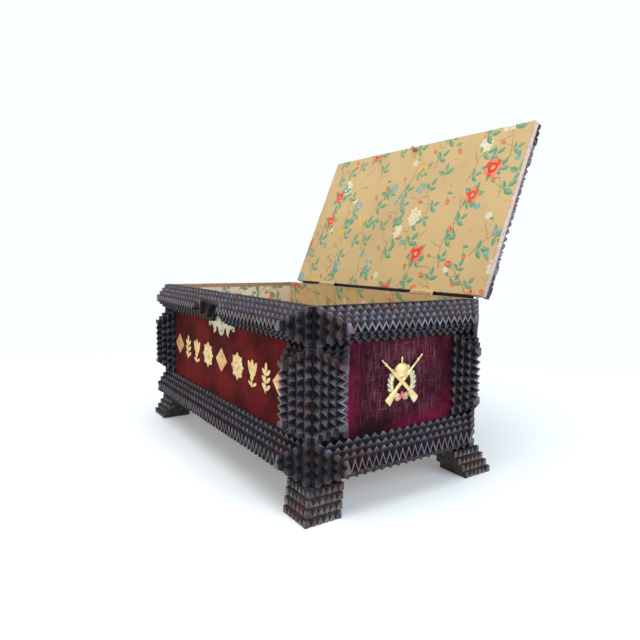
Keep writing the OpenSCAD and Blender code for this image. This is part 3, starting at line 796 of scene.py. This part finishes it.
def polar(x, y, r, a):
    """The point at this distance and angle from another."""
    return x + r * cos(a), y + r * sin(a)


def turned(points, x, y, turn):
    c, s = cos(turn), sin(turn)
    return [(x + px * c - py * s, y + px * s + py * c) for px, py in points]


def blob(x, y, rx, ry, turn, chance, sides=9, uneven=0.12):
    """A soft uneven oval."""
    ring = []
    for i in range(sides):
        a = 2 * pi * i / sides
        r = 1 + chance.uniform(-uneven, uneven)
        ring.append((rx * r * cos(a), ry * r * sin(a)))
    return turned(ring, x, y, turn)


def print_leaf(marks, x, y, length, width, turn):
    """A pointed leaf, one half lighter than the other."""
    upper = [(0, 0), (0.3 * length, 0.46 * width), (0.62 * length, 0.40 * width), (length, 0)]
    lower = [(px, -py) for px, py in reversed(upper[1:3])]
    marks.append((LEAF_DARK, turned(upper + lower, x, y, turn)))
    marks.append((LEAF_LIGHT, turned([(0.08 * length, 0), (0.34 * length, 0.36 * width),
                                      (0.62 * length, 0.3 * width), (0.9 * length, 0)], x, y, turn)))


def print_line(marks, colour, points, width):
    """A thin stroke that tapers towards its end."""
    left, right = [], []
    for i, (x, y) in enumerate(points):
        ax, ay = points[max(i - 1, 0)]
        bx, by = points[min(i + 1, len(points) - 1)]
        run = hypot(bx - ax, by - ay)
        nx, ny = -(by - ay) / run, (bx - ax) / run
        half = width / 2 * (1 - 0.6 * i / (len(points) - 1))
        left.append((x + nx * half, y + ny * half))
        right.append((x - nx * half, y - ny * half))
    marks.append((colour, left + right[::-1]))


def print_rose(marks, x, y, r, chance):
    """A full rose: ragged outer petals, deeper folds and a pale heart."""
    for i in range(7):
        a = 2 * pi * i / 7 + chance.uniform(-0.2, 0.2)
        petal = blob(*polar(x, y, 0.55 * r, a), 0.5 * r, 0.4 * r, a, chance)
        marks.append((ROSE_RED if i % 2 else ROSE_LIGHT, petal))
    marks.append((ROSE_RED, blob(x, y, 0.62 * r, 0.58 * r, 0, chance, 11)))
    for i in range(5):
        a = 2 * pi * i / 5 + chance.uniform(-0.3, 0.3)
        marks.append((ROSE_DEEP, blob(*polar(x, y, 0.42 * r, a), 0.1 * r, 0.28 * r, a, chance, 7)))
    marks.append((ROSE_LIGHT, blob(x, y, 0.3 * r, 0.28 * r, 0, chance)))
    marks.append((HEART, blob(x, y, 0.13 * r, 0.12 * r, 0, chance, 7)))


def print_bud(marks, x, y, r, turn, chance):
    """A rosebud in its green cup."""
    marks.append((ROSE_RED, blob(*polar(x, y, 0.6 * r, turn), r, 0.62 * r, turn, chance)))
    marks.append((ROSE_LIGHT, blob(*polar(x, y, 0.8 * r, turn), 0.55 * r, 0.3 * r, turn + 0.5, chance, 7)))
    for swing in (-0.5, 0.5):
        print_leaf(marks, *polar(x, y, -0.5 * r, turn), 1.1 * r, 0.5 * r, turn + swing)


def print_small_flower(marks, x, y, r, colour, chance):
    """Five round petals about a yellow eye."""
    start = chance.uniform(0, 2 * pi)
    for i in range(5):
        a = start + 2 * pi * i / 5
        marks.append((colour, blob(*polar(x, y, 0.55 * r, a), 0.48 * r, 0.36 * r, a, chance, 7)))
    marks.append((HEART, blob(x, y, 0.2 * r, 0.2 * r, 0, chance, 6)))


def print_twig(marks, x, y, reach, turn, chance):
    """A bare brown twig with small ticks."""
    points = [(x, y)]
    heading = turn
    for _ in range(4):
        heading += chance.uniform(-0.35, 0.35)
        points.append(polar(*points[-1], reach / 4, heading))
        tick = heading + chance.choice((-0.9, 0.9))
        print_line(marks, TWIG_BROWN, [points[-1], polar(*points[-1], 2.6, tick)], 0.55)
    print_line(marks, TWIG_BROWN, points, 0.6)


def print_leaves(marks, x, y, turn, size, chance):
    """A short shoot with three leaves."""
    print_line(marks, STEM_GREEN, [(x, y), polar(x, y, 0.7 * size, turn)], 0.6)
    for lean in (1.15, -1.15, chance.uniform(-0.2, 0.2)):
        base = 0.72 if abs(lean) < 0.5 else 0.4
        length = size * chance.uniform(0.8, 1.1)
        print_leaf(marks, *polar(x, y, base * size, turn), length, 0.52 * length, turn + lean)


def print_head(marks, x, y, turn, kind, chance):
    """The flowers at the head of a spray."""
    if kind == "rose":
        for i in range(5):
            print_leaf(marks, x, y, 15, 7, turn + 0.6 + i * 1.25 + chance.uniform(-0.2, 0.2))
        print_rose(marks, x, y, chance.uniform(7.0, 9.8), chance)
    elif kind == "bud":
        print_bud(marks, x, y, chance.uniform(4.2, 5.6), turn, chance)
    else:
        colour = {"white": PETAL_WHITE, "blue": PETAL_BLUE, "yellow": PETAL_YELLOW}[kind]
        for i in range(chance.choice((3, 4, 5))):
            a = turn + (i - 1.5) * 1.3
            reach = chance.uniform(3, 7)
            size = chance.uniform(4.2, 6.0) if kind == "white" else chance.uniform(2.6, 3.8)
            print_small_flower(marks, *polar(x, y, reach, a), size, colour, chance)


def print_spray(marks, x, y, turn, kind, chance):
    """A curved stem with shoots of leaves, side buds and a twig, and flowers of one kind at its head."""
    points = [(x, y)]
    heading = turn
    curl = chance.uniform(-0.2, 0.2)
    for _ in range(7):
        heading += curl
        points.append(polar(*points[-1], 5.6, heading))
    print_line(marks, STEM_GREEN if chance.random() < 0.6 else TWIG_BROWN, points, 0.8)
    for i, knot in enumerate(points[1:6]):
        side = 1 if i % 2 else -1
        lean = turn + curl * (i + 1) + side * chance.uniform(0.7, 1.2)
        if i == 1 and chance.random() < 0.7:
            tip = polar(*knot, chance.uniform(9, 13), lean)
            print_line(marks, STEM_GREEN, [knot, tip], 0.6)
            print_bud(marks, *tip, chance.uniform(2.6, 3.6), lean, chance)
        elif i == 3:
            print_twig(marks, *knot, chance.uniform(12, 18), lean, chance)
        elif i in (0, 4):
            print_leaves(marks, *knot, lean, chance.uniform(8.5, 12.5), chance)
    print_head(marks, *points[-1], heading, kind, chance)


def print_sprig(marks, x, y, turn, chance):
    """A small loose thing between the sprays: a bud, a shoot, a twig or a little flower."""
    kind = chance.choice(("bud", "leaves", "twig", "white", "blue", "leaves"))
    if kind == "bud":
        tip = polar(x, y, 9, turn)
        print_line(marks, STEM_GREEN, [(x, y), tip], 0.6)
        print_leaf(marks, x, y, 8, 3.6, turn + 1.0)
        print_bud(marks, *tip, chance.uniform(3.0, 4.0), turn, chance)
    elif kind == "leaves":
        print_leaves(marks, x, y, turn, chance.uniform(8, 12), chance)
    elif kind == "twig":
        print_twig(marks, x, y, chance.uniform(14, 20), turn, chance)
    else:
        colour = PETAL_WHITE if kind == "white" else PETAL_BLUE
        print_leaf(marks, x, y, 9, 3.8, turn + 2.2)
        print_small_flower(marks, x, y, chance.uniform(3.4, 4.6), colour, chance)


def anticlockwise(outline):
    """The outline's points, run so that its inside lies on the left."""
    area = sum(ax * by - bx * ay for (ax, ay), (bx, by) in zip(outline, outline[1:] + outline[:1]))
    return outline if area > 0 else outline[::-1]


def covers(outline, x, y):
    """True where the point lies inside the outline."""
    inside = False
    for (ax, ay), (bx, by) in zip(outline, outline[1:] + outline[:1]):
        if (ay > y) != (by > y) and x < ax + (y - ay) * (bx - ax) / (by - ay):
            inside = not inside
    return inside


def scatter_sprays(w, h, seed):
    """Sprays on a loose half-drop grid, with small sprigs between them, so that no spot is bare for long."""
    chance = random.Random(seed)
    marks = []
    kinds = ["rose", "bud", "white", "blue", "bud", "rose", "yellow", "white", "bud", "blue"]
    columns, rows = max(2, round(w / 41)), max(2, round(h / 38))
    for i in range(-1, columns + 1):
        for j in range(-1, rows + 1):
            x = -w / 2 + (i + 0.5 + chance.uniform(-0.2, 0.2)) * w / columns
            y = -h / 2 + (j + 0.5 + 0.5 * (i % 2) + chance.uniform(-0.2, 0.2)) * h / rows
            kind = kinds[(3 * i + 7 * j + seed) % len(kinds)]
            for along, up in ((0.5, 0.1), (0.2, 0.5)):
                turn = chance.uniform(0, 2 * pi)
                print_sprig(marks, x + along * w / columns, y + up * h / rows, turn, chance)
            print_spray(marks, x, y - 0.45 * h / rows, radians(90) + chance.uniform(-0.7, 0.7), kind, chance)
    return marks


def printed_sheet(name, w, h, seed, cuts=(), ground=GROUND):
    """A flat printed sheet about its own middle, cut out where a rectangle (x, y, w, h) is given."""
    wide, tall = w / MM, h / MM
    x, y = wide / 2, tall / 2
    shapes = [(ground, [(-x, -y), (x, -y), (x, y), (-x, y)])]
    shapes += scatter_sprays(wide, tall, seed)
    holes = set()
    for x, y, cut_w, cut_h in cuts:
        holes.add(len(shapes))
        left, low = (x - cut_w / 2) / MM, (y - cut_h / 2) / MM
        right, high = left + cut_w / MM, low + cut_h / MM
        shapes.append((ground, [(left, low), (right, low), (right, high), (left, high)]))
    points, rings = [], []
    for _, outline in shapes:
        rings.append(list(range(len(points), len(points) + len(outline))))
        points += [Vector(p) for p in anticlockwise(outline)]
    places, _, faces, _, _, sources = delaunay_2d_cdt(points, [], rings, 0, 1e-4)
    kept = []
    for face, source in zip(faces, sources):
        middle = sum((places[i] for i in face), Vector((0, 0))) / len(face)
        over = {k for k in source if covers(shapes[k][1], middle.x, middle.y)}
        if 0 in over and not holes & over:
            kept.append((face, max(over)))
    mesh = bpy.data.meshes.new(name)
    mesh.from_pydata([(p.x * MM, p.y * MM, 0) for p in places], [], [face for face, _ in kept])
    print_colour = mesh.attributes.new("print", "FLOAT_COLOR", "CORNER")
    for polygon, (_, top) in zip(mesh.polygons, kept):
        for corner in polygon.loop_indices:
            print_colour.data[corner].color = (*shapes[top][0], 1.0)
    sheet = linked(name, mesh)
    edit(sheet)
    bpy.ops.mesh.delete_loose()
    close_edit()
    point_outwards(sheet)
    if mesh.polygons[0].normal.z < 0:
        mesh.flip_normals()
    finish_with(sheet, "SOLIDIFY", thickness=PAPER_T, offset=-1)
    return sheet


def make_wall_papers():
    """Papers on the inside of the four walls, and on the floor."""
    lock_low, lock_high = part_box("lock_case")
    turns = {"back": 0, "left": 90, "front": 180, "right": -90}
    for number, (face, turn) in enumerate(turns.items()):
        node = f"{face}_lining"
        low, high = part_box(node)
        middle = (low + high) / 2
        w, h, _ = face_size(node, face)
        cuts = []
        if face == "front":
            cut_h = high.z - lock_low.z + 2 * MM
            cuts = [(0, h / 2 - cut_h / 2 + 1.5 * MM, lock_high.x - lock_low.x + 0.6 * MM, cut_h)]
        elif face == "left":
            cuts = [(0, h / 2, 2 * w, 2 * TORN_TOP)]
        sheet = printed_sheet(node + "_paper", w, h, 41 + number, cuts, FADED if face == "left" else GROUND)
        inner = {"back": (0, low.y), "front": (0, high.y), "left": (high.x, 0), "right": (low.x, 0)}[face]
        place = (
            Matrix.Translation((*inner, middle.z))
            @ Matrix.Rotation(radians(turn), 4, "Z")
            @ Matrix.Rotation(radians(90), 4, "X")
        )
        sheet.data.transform(place)
        dress(sheet, "box", "lining_paper", PAPER, node)
    low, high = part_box("floor_lining")
    sheet = printed_sheet("floor_lining_paper", high.x - low.x, high.y - low.y, 51)
    sheet.data.transform(Matrix.Translation((0, 0, high.z)))
    dress(sheet, "box", "lining_paper", PAPER, "floor_lining")


def make_lid_paper():
    """Paper on the inside of the lid, cut round the staple."""
    low, high = shut_box("lid_lining")
    middle = (low + high) / 2
    plate_low, plate_high = shut_box("lid_staple")
    plate = (plate_low + plate_high) / 2
    round_staple = (plate.x, middle.y - plate.y, plate_high.x - plate_low.x, plate_high.y - plate_low.y)
    sheet = printed_sheet("lid_lining_paper", high.x - low.x, high.y - low.y, 63, [round_staple])
    place = Matrix.Translation((middle.x, middle.y, low.z - LEAF_COVER))
    sheet.data.transform(SWING_OPEN @ place @ Matrix.Rotation(radians(180), 4, "X"))
    dress(sheet, "lid", "lining_paper", PAPER, "lid_lining")


def make_hinge_papers():
    """Paper pasted over each hinge, from the back wall over its leaves and up the lid."""
    leaf_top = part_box("left_hinge_box_leaf")[0].z + TAB_LIFT
    wall_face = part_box("back_lining")[0].y - TAB_OFF_WALL
    crease = half_dep + CREASE_OUT
    lid_low, lid_high = shut_box("lid_lining")
    lid_face = lid_low.z - LEAF_COVER - TAB_OFF_LID
    box_run = [
        (wall_face, wall_top - 7 * MM),
        (wall_face, wall_top - 1 * MM),
        (wall_face + 0.8 * MM, leaf_top),
        (wall_face + 5 * MM, leaf_top),
        (crease, leaf_top),
    ]
    lid_run = [(crease, leaf_top), (lid_high.y - 0.6 * MM, lid_face), (lid_high.y - 1.8 * MM, lid_face)]
    swung = [SWING_OPEN @ Vector((0, y, z)) for y, z in lid_run]
    route = box_run + [(p.y, p.z) for p in swung]
    for side in ("left", "right"):
        low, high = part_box(f"{side}_hinge_box_leaf")
        middle = (low.x + high.x) / 2
        columns = [middle - TAB_W / 2 + TAB_W * i / 6 for i in range(7)]
        points = [(x, y, z) for y, z in route for x in columns]
        wide = len(columns)
        faces = [
            (r * wide + c, r * wide + c + 1, (r + 1) * wide + c + 1, (r + 1) * wide + c)
            for r in range(len(route) - 1)
            for c in range(wide - 1)
        ]
        mesh = bpy.data.meshes.new(f"{side}_hinge_paper")
        mesh.from_pydata(points, [], faces)
        colours = mesh.attributes.new("print", "FLOAT_COLOR", "CORNER")
        for corner in colours.data:
            corner.color = (*GROUND, 1.0)
        tab = linked(f"{side}_hinge_paper", mesh)
        finish_with(tab, "SOLIDIFY", thickness=TAB_T, offset=0)
        tab.data.materials.append(PAPER)
        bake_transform(tab)


# Stamped mounts

def leaf_template():
    """A pointed leaf with a raised rib, of unit length along x from the origin, unit width and unit rise."""
    leaf = add("circle", "leaf", vertices=10, radius=0.5, fill_type="NGON", location=(0.5, 0, 0))
    edit(leaf)
    bpy.ops.mesh.extrude_region_move(TRANSFORM_OT_translate={"value": (0, 0, 0.35)})
    bpy.ops.mesh.poke(offset=0.65)
    close_edit()
    point_outwards(leaf)
    finish_with(leaf, "SUBSURF", levels=1, render_levels=1)
    return leaf


def bead_template():
    """A round bead of unit radius, sunk to its middle."""
    bead = add("uv_sphere", "bead", segments=16, ring_count=10, radius=1)
    edit(bead)
    bpy.ops.mesh.bisect(plane_co=(0, 0, -0.2), plane_no=(0, 0, 1), clear_inner=True, use_fill=True)
    close_edit()
    return bead


def bar_template():
    """A rod of unit length along x from the origin, unit width and unit rise, with rounded edges."""
    bar = add("cube", "bar", size=1, location=(0.5, 0, 0.5))
    finish_with(bar, "BEVEL", width=0.18, segments=2, limit_method="NONE")
    return bar


LEAF = leaf_template()
BEAD = bead_template()
BAR = bar_template()


def shaped(template, size, x=0.0, y=0.0, z=0.0, turn=0.0, material=None):
    """A copy of a template, sized, turned and put in its place on a mount, in millimetres and degrees."""
    scale = Matrix.Diagonal((*(s * MM for s in size), 1))
    place = Matrix.Translation((x * MM, y * MM, z * MM)) @ Matrix.Rotation(radians(turn), 4, "Z")
    part = copy_of(template, "part", place @ scale)
    if material is not None:
        part.data.materials.append(material)
    return part


def lozenge(w, h):
    """Stamped lozenge: a rounded rim about a raised diamond."""
    half = (w / 2 * MM, h / 2 * MM, 1)
    plate = add("circle", "lozenge", half, vertices=4, radius=1, fill_type="NGON")
    edit(plate)
    bpy.ops.mesh.extrude_region_move(TRANSFORM_OT_translate={"value": (0, 0, 0.9 * MM)})
    for inset, rise in ((1.3, 0.0), (0.7, -0.5), (0.8, 0.0), (1.6, 0.7), (1.6, 0.3)):
        bpy.ops.mesh.inset(thickness=inset * MM)
        bpy.ops.transform.translate(value=(0, 0, rise * MM))
    close_edit()
    point_outwards(plate)
    finish_with(plate, "BEVEL", width=0.15 * MM, segments=2, limit_method="ANGLE", angle_limit=radians(25))
    return plate


def rosette(size):
    """Eight petals over eight smaller ones, with a beaded eye."""
    parts = []
    for i in range(8):
        parts.append(shaped(LEAF, (0.44 * size, 0.2 * size, 0.9), turn=45 * i + 22.5))
        parts.append(shaped(LEAF, (0.52 * size, 0.22 * size, 1.3), turn=45 * i))
        eye = polar(0, 0, 0.16 * size, radians(45 * i))
        parts.append(shaped(BEAD, (0.03 * size, 0.03 * size, 0.9), *eye, 0.9))
    parts.append(shaped(BEAD, (0.12 * size, 0.12 * size, 1.0), z=0.9))
    return join("rosette", parts)


def tulip(size):
    """Three petals on a stem between two leaves."""
    parts = [shaped(BAR, (0.5 * size, 0.07 * size, 0.9), 0, -0.5 * size, turn=90)]
    for turn in (62, 118, 90):
        rise = 1.5 if turn == 90 else 1.1
        parts.append(shaped(LEAF, (0.68 * size, 0.25 * size, rise), 0, -0.2 * size, turn=turn))
    for turn in (25, 155):
        parts.append(shaped(LEAF, (0.34 * size, 0.13 * size, 1.0), 0, -0.46 * size, turn=turn))
    parts.append(shaped(BEAD, (0.11 * size, 0.11 * size, 1.1), 0, -0.17 * size, 0.4))
    return join("tulip", parts)


def sprig(size):
    """Pairs of leaves up a stem."""
    parts = [shaped(BAR, (0.8 * size, 0.06 * size, 0.9), 0, -0.5 * size, turn=90)]
    for i in range(3):
        level = (0.24 * i - 0.42) * size
        for turn in (38, 142):
            parts.append(shaped(LEAF, (0.36 * size, 0.16 * size, 1.2), 0, level, turn=turn))
        parts.append(shaped(BEAD, (0.04 * size, 0.04 * size, 0.8), 0, level, 0.7))
    parts.append(shaped(LEAF, (0.34 * size, 0.17 * size, 1.3), 0, 0.16 * size, turn=90))
    return join("sprig", parts)


def make_row(template, node, offsets, material):
    """Copies of one mount along the front velvet."""
    middle = face_size(node, "front")[2]
    copies = [copy_of(template, "mount", face_place("front", x, middle, VELVET_T)) for x in offsets]
    row = join(node + "_row", copies)
    point_outwards(row)
    dress(row, "box", "gilt_metal", material, node)
    discard(template)


def make_front_mounts():
    """The row on the front velvet, with three lozenges among flowers and leaves."""
    lozenge_w, lozenge_h, mount_h = 25, 22, 25
    row_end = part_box("gilt_lozenges")[1].x - lozenge_w / 2 * MM
    make_row(lozenge(lozenge_w, lozenge_h), "gilt_lozenges", (-row_end, 0, row_end), COPPER_GILT)
    rows = ((rosette, "gilt_rosettes", 0.3), (tulip, "gilt_tulips", 0.5625), (sprig, "gilt_sprigs", 0.78))
    for make, node, share in rows:
        make_row(make(mount_h), node, (-share * row_end, share * row_end), GILT)


def drawn_bar(name, stations):
    """A bar along x through stations of place, middle, half height and half thickness, in millimetres."""
    start, middle, high, thick = stations[0]
    bar = add("circle", name, vertices=10, radius=1, fill_type="NGON", rotation=(0, radians(90), 0))
    place = Matrix.Translation((start * MM, middle * MM, 0))
    bar.data.transform(place @ Matrix.Diagonal((1, high * MM, thick * MM, 1)))
    edit(bar)
    for place, level, next_high, next_thick in stations[1:]:
        step = ((place - start) * MM, (level - middle) * MM, 0)
        bpy.ops.mesh.extrude_region_move(TRANSFORM_OT_translate={"value": step})
        bpy.ops.transform.resize(value=(1, next_high / high, next_thick / thick),
                                 center_override=(place * MM, level * MM, 0))
        start, middle, high, thick = place, level, next_high, next_thick
    close_edit()
    point_outwards(bar)
    return bar


def rifle():
    """Old rifle along x from its butt: stock, wrist, fore-end, barrel and a band near the muzzle."""
    return drawn_bar("rifle", [
        (0, -1.6, 3.4, 0.7), (0.6, -1.6, 3.6, 0.9), (8, -0.9, 2.8, 1.0), (13, -0.2, 1.5, 0.9),
        (15, 0, 1.7, 1.0), (20, 0, 1.8, 1.1), (33, 0, 1.5, 0.9), (33.4, 0, 1.0, 0.7), (43, 0, 0.9, 0.65),
        (43.2, 0, 1.4, 0.8), (44.6, 0, 1.4, 0.8), (44.8, 0, 0.8, 0.6), (49.5, 0, 0.75, 0.55),
    ])


def trophy():
    """Crossed rifles over a laurel wreath, with a spiked cap above and a ribbon bow below."""
    parts = []
    gun = rifle()
    for x, y, turn, flip, z in ((-16.5, -13.5, 43.5, 1, 1.4), (14.5, -13.5, 138.0, -1, 2.0)):
        part = copy_of(gun, "gun", Matrix.Translation((x * MM, y * MM, z * MM))
                       @ Matrix.Rotation(radians(turn), 4, "Z") @ Matrix.Diagonal((1, flip, 1, 1)))
        part.data.materials.append(GILT)
        parts.append(part)
    discard(gun)
    leaves = 22
    for i in range(leaves):
        a = 360 * i / leaves
        side = 1 if a < 90 or a > 270 else -1
        angle = radians(a)
        parts.append(shaped(BEAD, (1.2, 2.4, 1.1), *polar(-0.5, 0, 11.2, angle), 0.3, a, GILT))
        for lean, reach in ((28, 11.0), (-24, 11.8)):
            spot = polar(-0.5, 0, reach, angle)
            parts.append(shaped(LEAF, (5.4, 2.7, 1.3), *spot, 0.4, a + side * (90 + lean), LAUREL))
    for size, y, z in (((7.2, 6.2, 2.4), 9.6, 0.8), ((8.4, 1.7, 2.3), 5.8, 0.9), ((2.2, 2.2, 1.3), 9.8, 2.2)):
        parts.append(shaped(BEAD, size, -1.3, y, z, 0, GILT))
    parts.append(shaped(LEAF, (6.4, 2.4, 1.5), -1.3, 14.6, 0.8, 90, GILT))
    for turn in (20, 160, 215, 325):
        length = 5.6 if turn < 180 else 6.2
        parts.append(shaped(LEAF, (length, 3.0, 1.7), -0.8, -10.6, 0.5, turn, RIBBON))
    parts.append(shaped(BEAD, (1.6, 1.5, 1.3), -0.8, -10.4, 1.2, 0, RIBBON))
    parts.append(shaped(LEAF, (3.0, 2.2, 1.4), -0.8, -9.6, 0.8, 90, RIBBON))
    made = join("trophy", parts)
    point_outwards(made)
    return made


def make_trophies():
    template = trophy()
    for face in ("right", "left"):
        node = f"{face}_trophy"
        middle = face_size(f"{face}_velvet", face)[2]
        piece = copy_of(template, node + "_stamping", face_place(face, 0, middle, VELVET_T))
        dress(piece, "box", "gilt_metal", None, node)
    discard(template)


def flat_outline(curve, points, smooth):
    """A closed outline in a flat curve, rounded where smooth is set."""
    spline = curve.splines.new("BEZIER")
    spline.bezier_points.add(len(points) - 1)
    for knot, (x, y) in zip(spline.bezier_points, points):
        knot.co = (x * MM, y * MM, 0)
        knot.handle_left_type = knot.handle_right_type = "AUTO" if smooth else "VECTOR"
    spline.use_cyclic_u = True


def ring_points(x, y, r, count=12):
    return [polar(x, y, r, 2 * pi * i / count) for i in range(count)]


def make_escutcheon():
    """Pierced plate about the keyhole: a crowned middle, ragged wings and a drop with a round hole."""
    right_half = [
        (0, 8.8), (2.6, 8.4), (4.6, 5.8), (6.6, 7.6), (9.0, 4.6), (12.6, 5.2), (15.0, 2.6), (20.0, 4.2),
        (24.0, 1.6), (29.0, 4.6), (27.2, 0.2), (28.8, -3.0), (25.6, -5.0), (22.6, -2.4), (19.4, -3.6),
        (17.2, -6.6), (14.6, -9.4), (12.4, -8.6), (11.4, -4.8), (9.2, -3.4), (6.6, -5.4), (4.8, -8.8),
        (2.6, -10.6), (0, -11.0),
    ]
    left_half = [(-x, y) for x, y in reversed(right_half[1:-1])]
    key_r, slot, key_level, slot_low = 1.9, 0.9, 3.4, -1.6
    round_key = (0.5, 1.2, 1.9, 2.6, 3.14, 3.7, 4.4, 5.1, 5.8)
    arc = [(key_r * sin(a), key_level - key_r * cos(a)) for a in round_key]
    curve = bpy.data.curves.new("escutcheon_outline", "CURVE")
    curve.dimensions = "2D"
    curve.fill_mode = "BOTH"
    curve.resolution_u = 4
    curve.extrude = 0.32 * MM
    curve.bevel_depth = 0.16 * MM
    flat_outline(curve, right_half + left_half, True)
    flat_outline(curve, [(slot, slot_low)] + arc + [(-slot, slot_low)], False)
    flat_outline(curve, ring_points(0, -6.8, 1.3), True)
    plate = linked("escutcheon_plate", curve)
    activate(plate)
    bpy.ops.object.convert(target="MESH")
    parts = [plate]
    for side in (-1, 1):
        for x, y, turn in ((9, 0.6, 12), (17, -0.4, 8), (15.5, -5.6, -70), (24.5, 0.6, 20)):
            parts.append(shaped(LEAF, (6.0, 2.0, 0.9), side * x - 3 * cos(radians(turn)) * side, y, 0.3,
                                turn if side > 0 else 180 - turn))
    made = join("escutcheon_plate", parts)
    point_outwards(made)
    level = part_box("front_top_rail")[0].z
    made.data.transform(face_place("front", 0, level, VELVET_T + 0.48 * MM))
    dress(made, "box", "gilt_metal", PALE_BRASS, "escutcheon")


# Solids that keep their shape and get a finish

def finish_solids():
    finishes = {
        CEDAR: ("bottom_board", "back_wall", "left_wall"),
        PALE_CEDAR: ("lid_board",),
        STAINED: ("front_wall", "right_wall"),
        OLD_BRASS: ("left_hinge_box_leaf", "left_hinge_lid_leaf", "left_hinge_pin", "right_hinge_box_leaf",
                    "right_hinge_lid_leaf", "right_hinge_pin", "lock_bolt", "lid_staple", "escutcheon_pins"),
        IRON: ("box_hinge_brads", "lid_hinge_brads", "lock_case"),
    }
    for material, names in finishes.items():
        for name in names:
            NODES[name].data.materials.clear()
            NODES[name].data.materials.append(material)


# Stage, light and camera

PHOTO_SIDE = 640
CAMERA_PLACE = (0.4654, -0.2837, 0.1833)
CAMERA_TURN = radians(55.3)
CAMERA_RISE = radians(4.76)
CAMERA_ROLL = radians(0.87)
FOCAL_PX = 549.9
SHIFT_PX = (11.5, -18.0)
FLOOR_DROP = 0.05 * MM


def make_camera():
    data = bpy.data.cameras.new("camera")
    data.sensor_width = 36
    data.lens = FOCAL_PX / PHOTO_SIDE * data.sensor_width
    data.shift_x = -SHIFT_PX[0] / PHOTO_SIDE
    data.shift_y = SHIFT_PX[1] / PHOTO_SIDE
    data.clip_start = 0.01
    camera = linked("camera", data)
    back = Vector((sin(CAMERA_TURN) * cos(CAMERA_RISE),
                   -cos(CAMERA_TURN) * cos(CAMERA_RISE), sin(CAMERA_RISE)))
    level = Vector((cos(CAMERA_TURN), sin(CAMERA_TURN), 0))
    up = back.cross(level)
    right = level * cos(CAMERA_ROLL) + up * sin(CAMERA_ROLL)
    top = up * cos(CAMERA_ROLL) - level * sin(CAMERA_ROLL)
    camera.matrix_world = Matrix.Translation(CAMERA_PLACE) @ Matrix((right, top, back)).transposed().to_4x4()
    bpy.context.scene.camera = camera


def seen_directly(tree):
    """1 for rays from the camera, mirrors and glass, and 0 for the light that reaches the object."""
    rays = put(tree, "LightPath").outputs
    either = product(tree, rays["Is Camera Ray"], rays["Is Glossy Ray"], "MAXIMUM")
    return product(tree, either, rays["Is Transmission Ray"], "MAXIMUM")


def make_world():
    world = bpy.data.worlds.new("studio")
    bpy.context.scene.world = world
    world.use_nodes = True
    tree = world.node_tree
    light = put(tree, "Background", {"Color": (0.92, 0.96, 1.0), "Strength": 0.4})
    white = put(tree, "Background", {"Color": (0.96, 0.99, 1.0), "Strength": 1.0})
    mixed = put(tree, "MixShader", {0: seen_directly(tree), 1: light.outputs[0], 2: white.outputs[0]})
    tree.links.new(mixed.outputs[0], tree.nodes["World Output"].inputs["Surface"])


def make_floor():
    """Pale floor that keeps the shadow near the box and runs out into the white behind it."""
    floor = add("plane", "floor", size=40, location=(0, 0, -FLOOR_DROP))
    material, tree, shader = nodes_of("pale_floor")
    feed(tree, shader, {"Base Color": (0.84, 0.90, 0.93), "Roughness": 0.6, "Specular IOR Level": 0.2})
    seen = seen_directly(tree)
    glow = put(tree, "Emission", {"Color": (0.17, 0.175, 0.18), "Strength": seen})
    near = put(tree, "AddShader", {0: shader.outputs[0], 1: glow.outputs[0]})
    white = put(tree, "Emission", {"Color": (0.96, 0.99, 1.0), "Strength": 1.0})
    place = put(tree, "TexCoord").outputs["Object"]
    reach = put(tree, "VectorMath", {0: place}, operation="LENGTH").outputs["Value"]
    far = product(tree, between(tree, reach, 0.30, 0.85), seen)
    both = put(tree, "MixShader", {0: far, 1: near.outputs[0], 2: white.outputs[0]})
    tree.links.new(both.outputs[0], tree.nodes["Material Output"].inputs["Surface"])
    floor.data.materials.append(material)


def softbox(name, place, aim, size, power, tint):
    data = bpy.data.lights.new(name, "AREA")
    data.color = tint
    data.shape = "SQUARE"
    data.size = size
    data.energy = power
    lamp = linked(name, data)
    lamp.location = place
    lamp.rotation_euler = (Vector(aim) - Vector(place)).to_track_quat("-Z", "Y").to_euler()


def make_stage():
    make_world()
    make_floor()
    middle = (0, 0, 0.1)
    softbox("top_light", (0.1, -0.3, 1.7), middle, size=1.5, power=22, tint=(1.0, 0.99, 0.97))
    softbox("side_light", (1.6, 0.5, 0.9), middle, size=1.2, power=17, tint=(0.86, 0.94, 1.0))
    softbox("front_light", (0.2, -1.7, 0.9), middle, size=1.4, power=8, tint=(1.0, 0.90, 0.78))
    bpy.context.scene.view_settings.view_transform = "Standard"


chance = random.Random(1890)
make_camera()
make_stage()
make_rails(chance)
make_pilasters(chance)
make_feet(chance)
make_lid_borders(chance)
make_lid_fillet()
make_velvets()
make_wall_papers()
make_lid_paper()
make_hinge_papers()
make_front_mounts()
make_trophies()
make_escutcheon()
discard(LEAF, BEAD, BAR)
finish_solids()
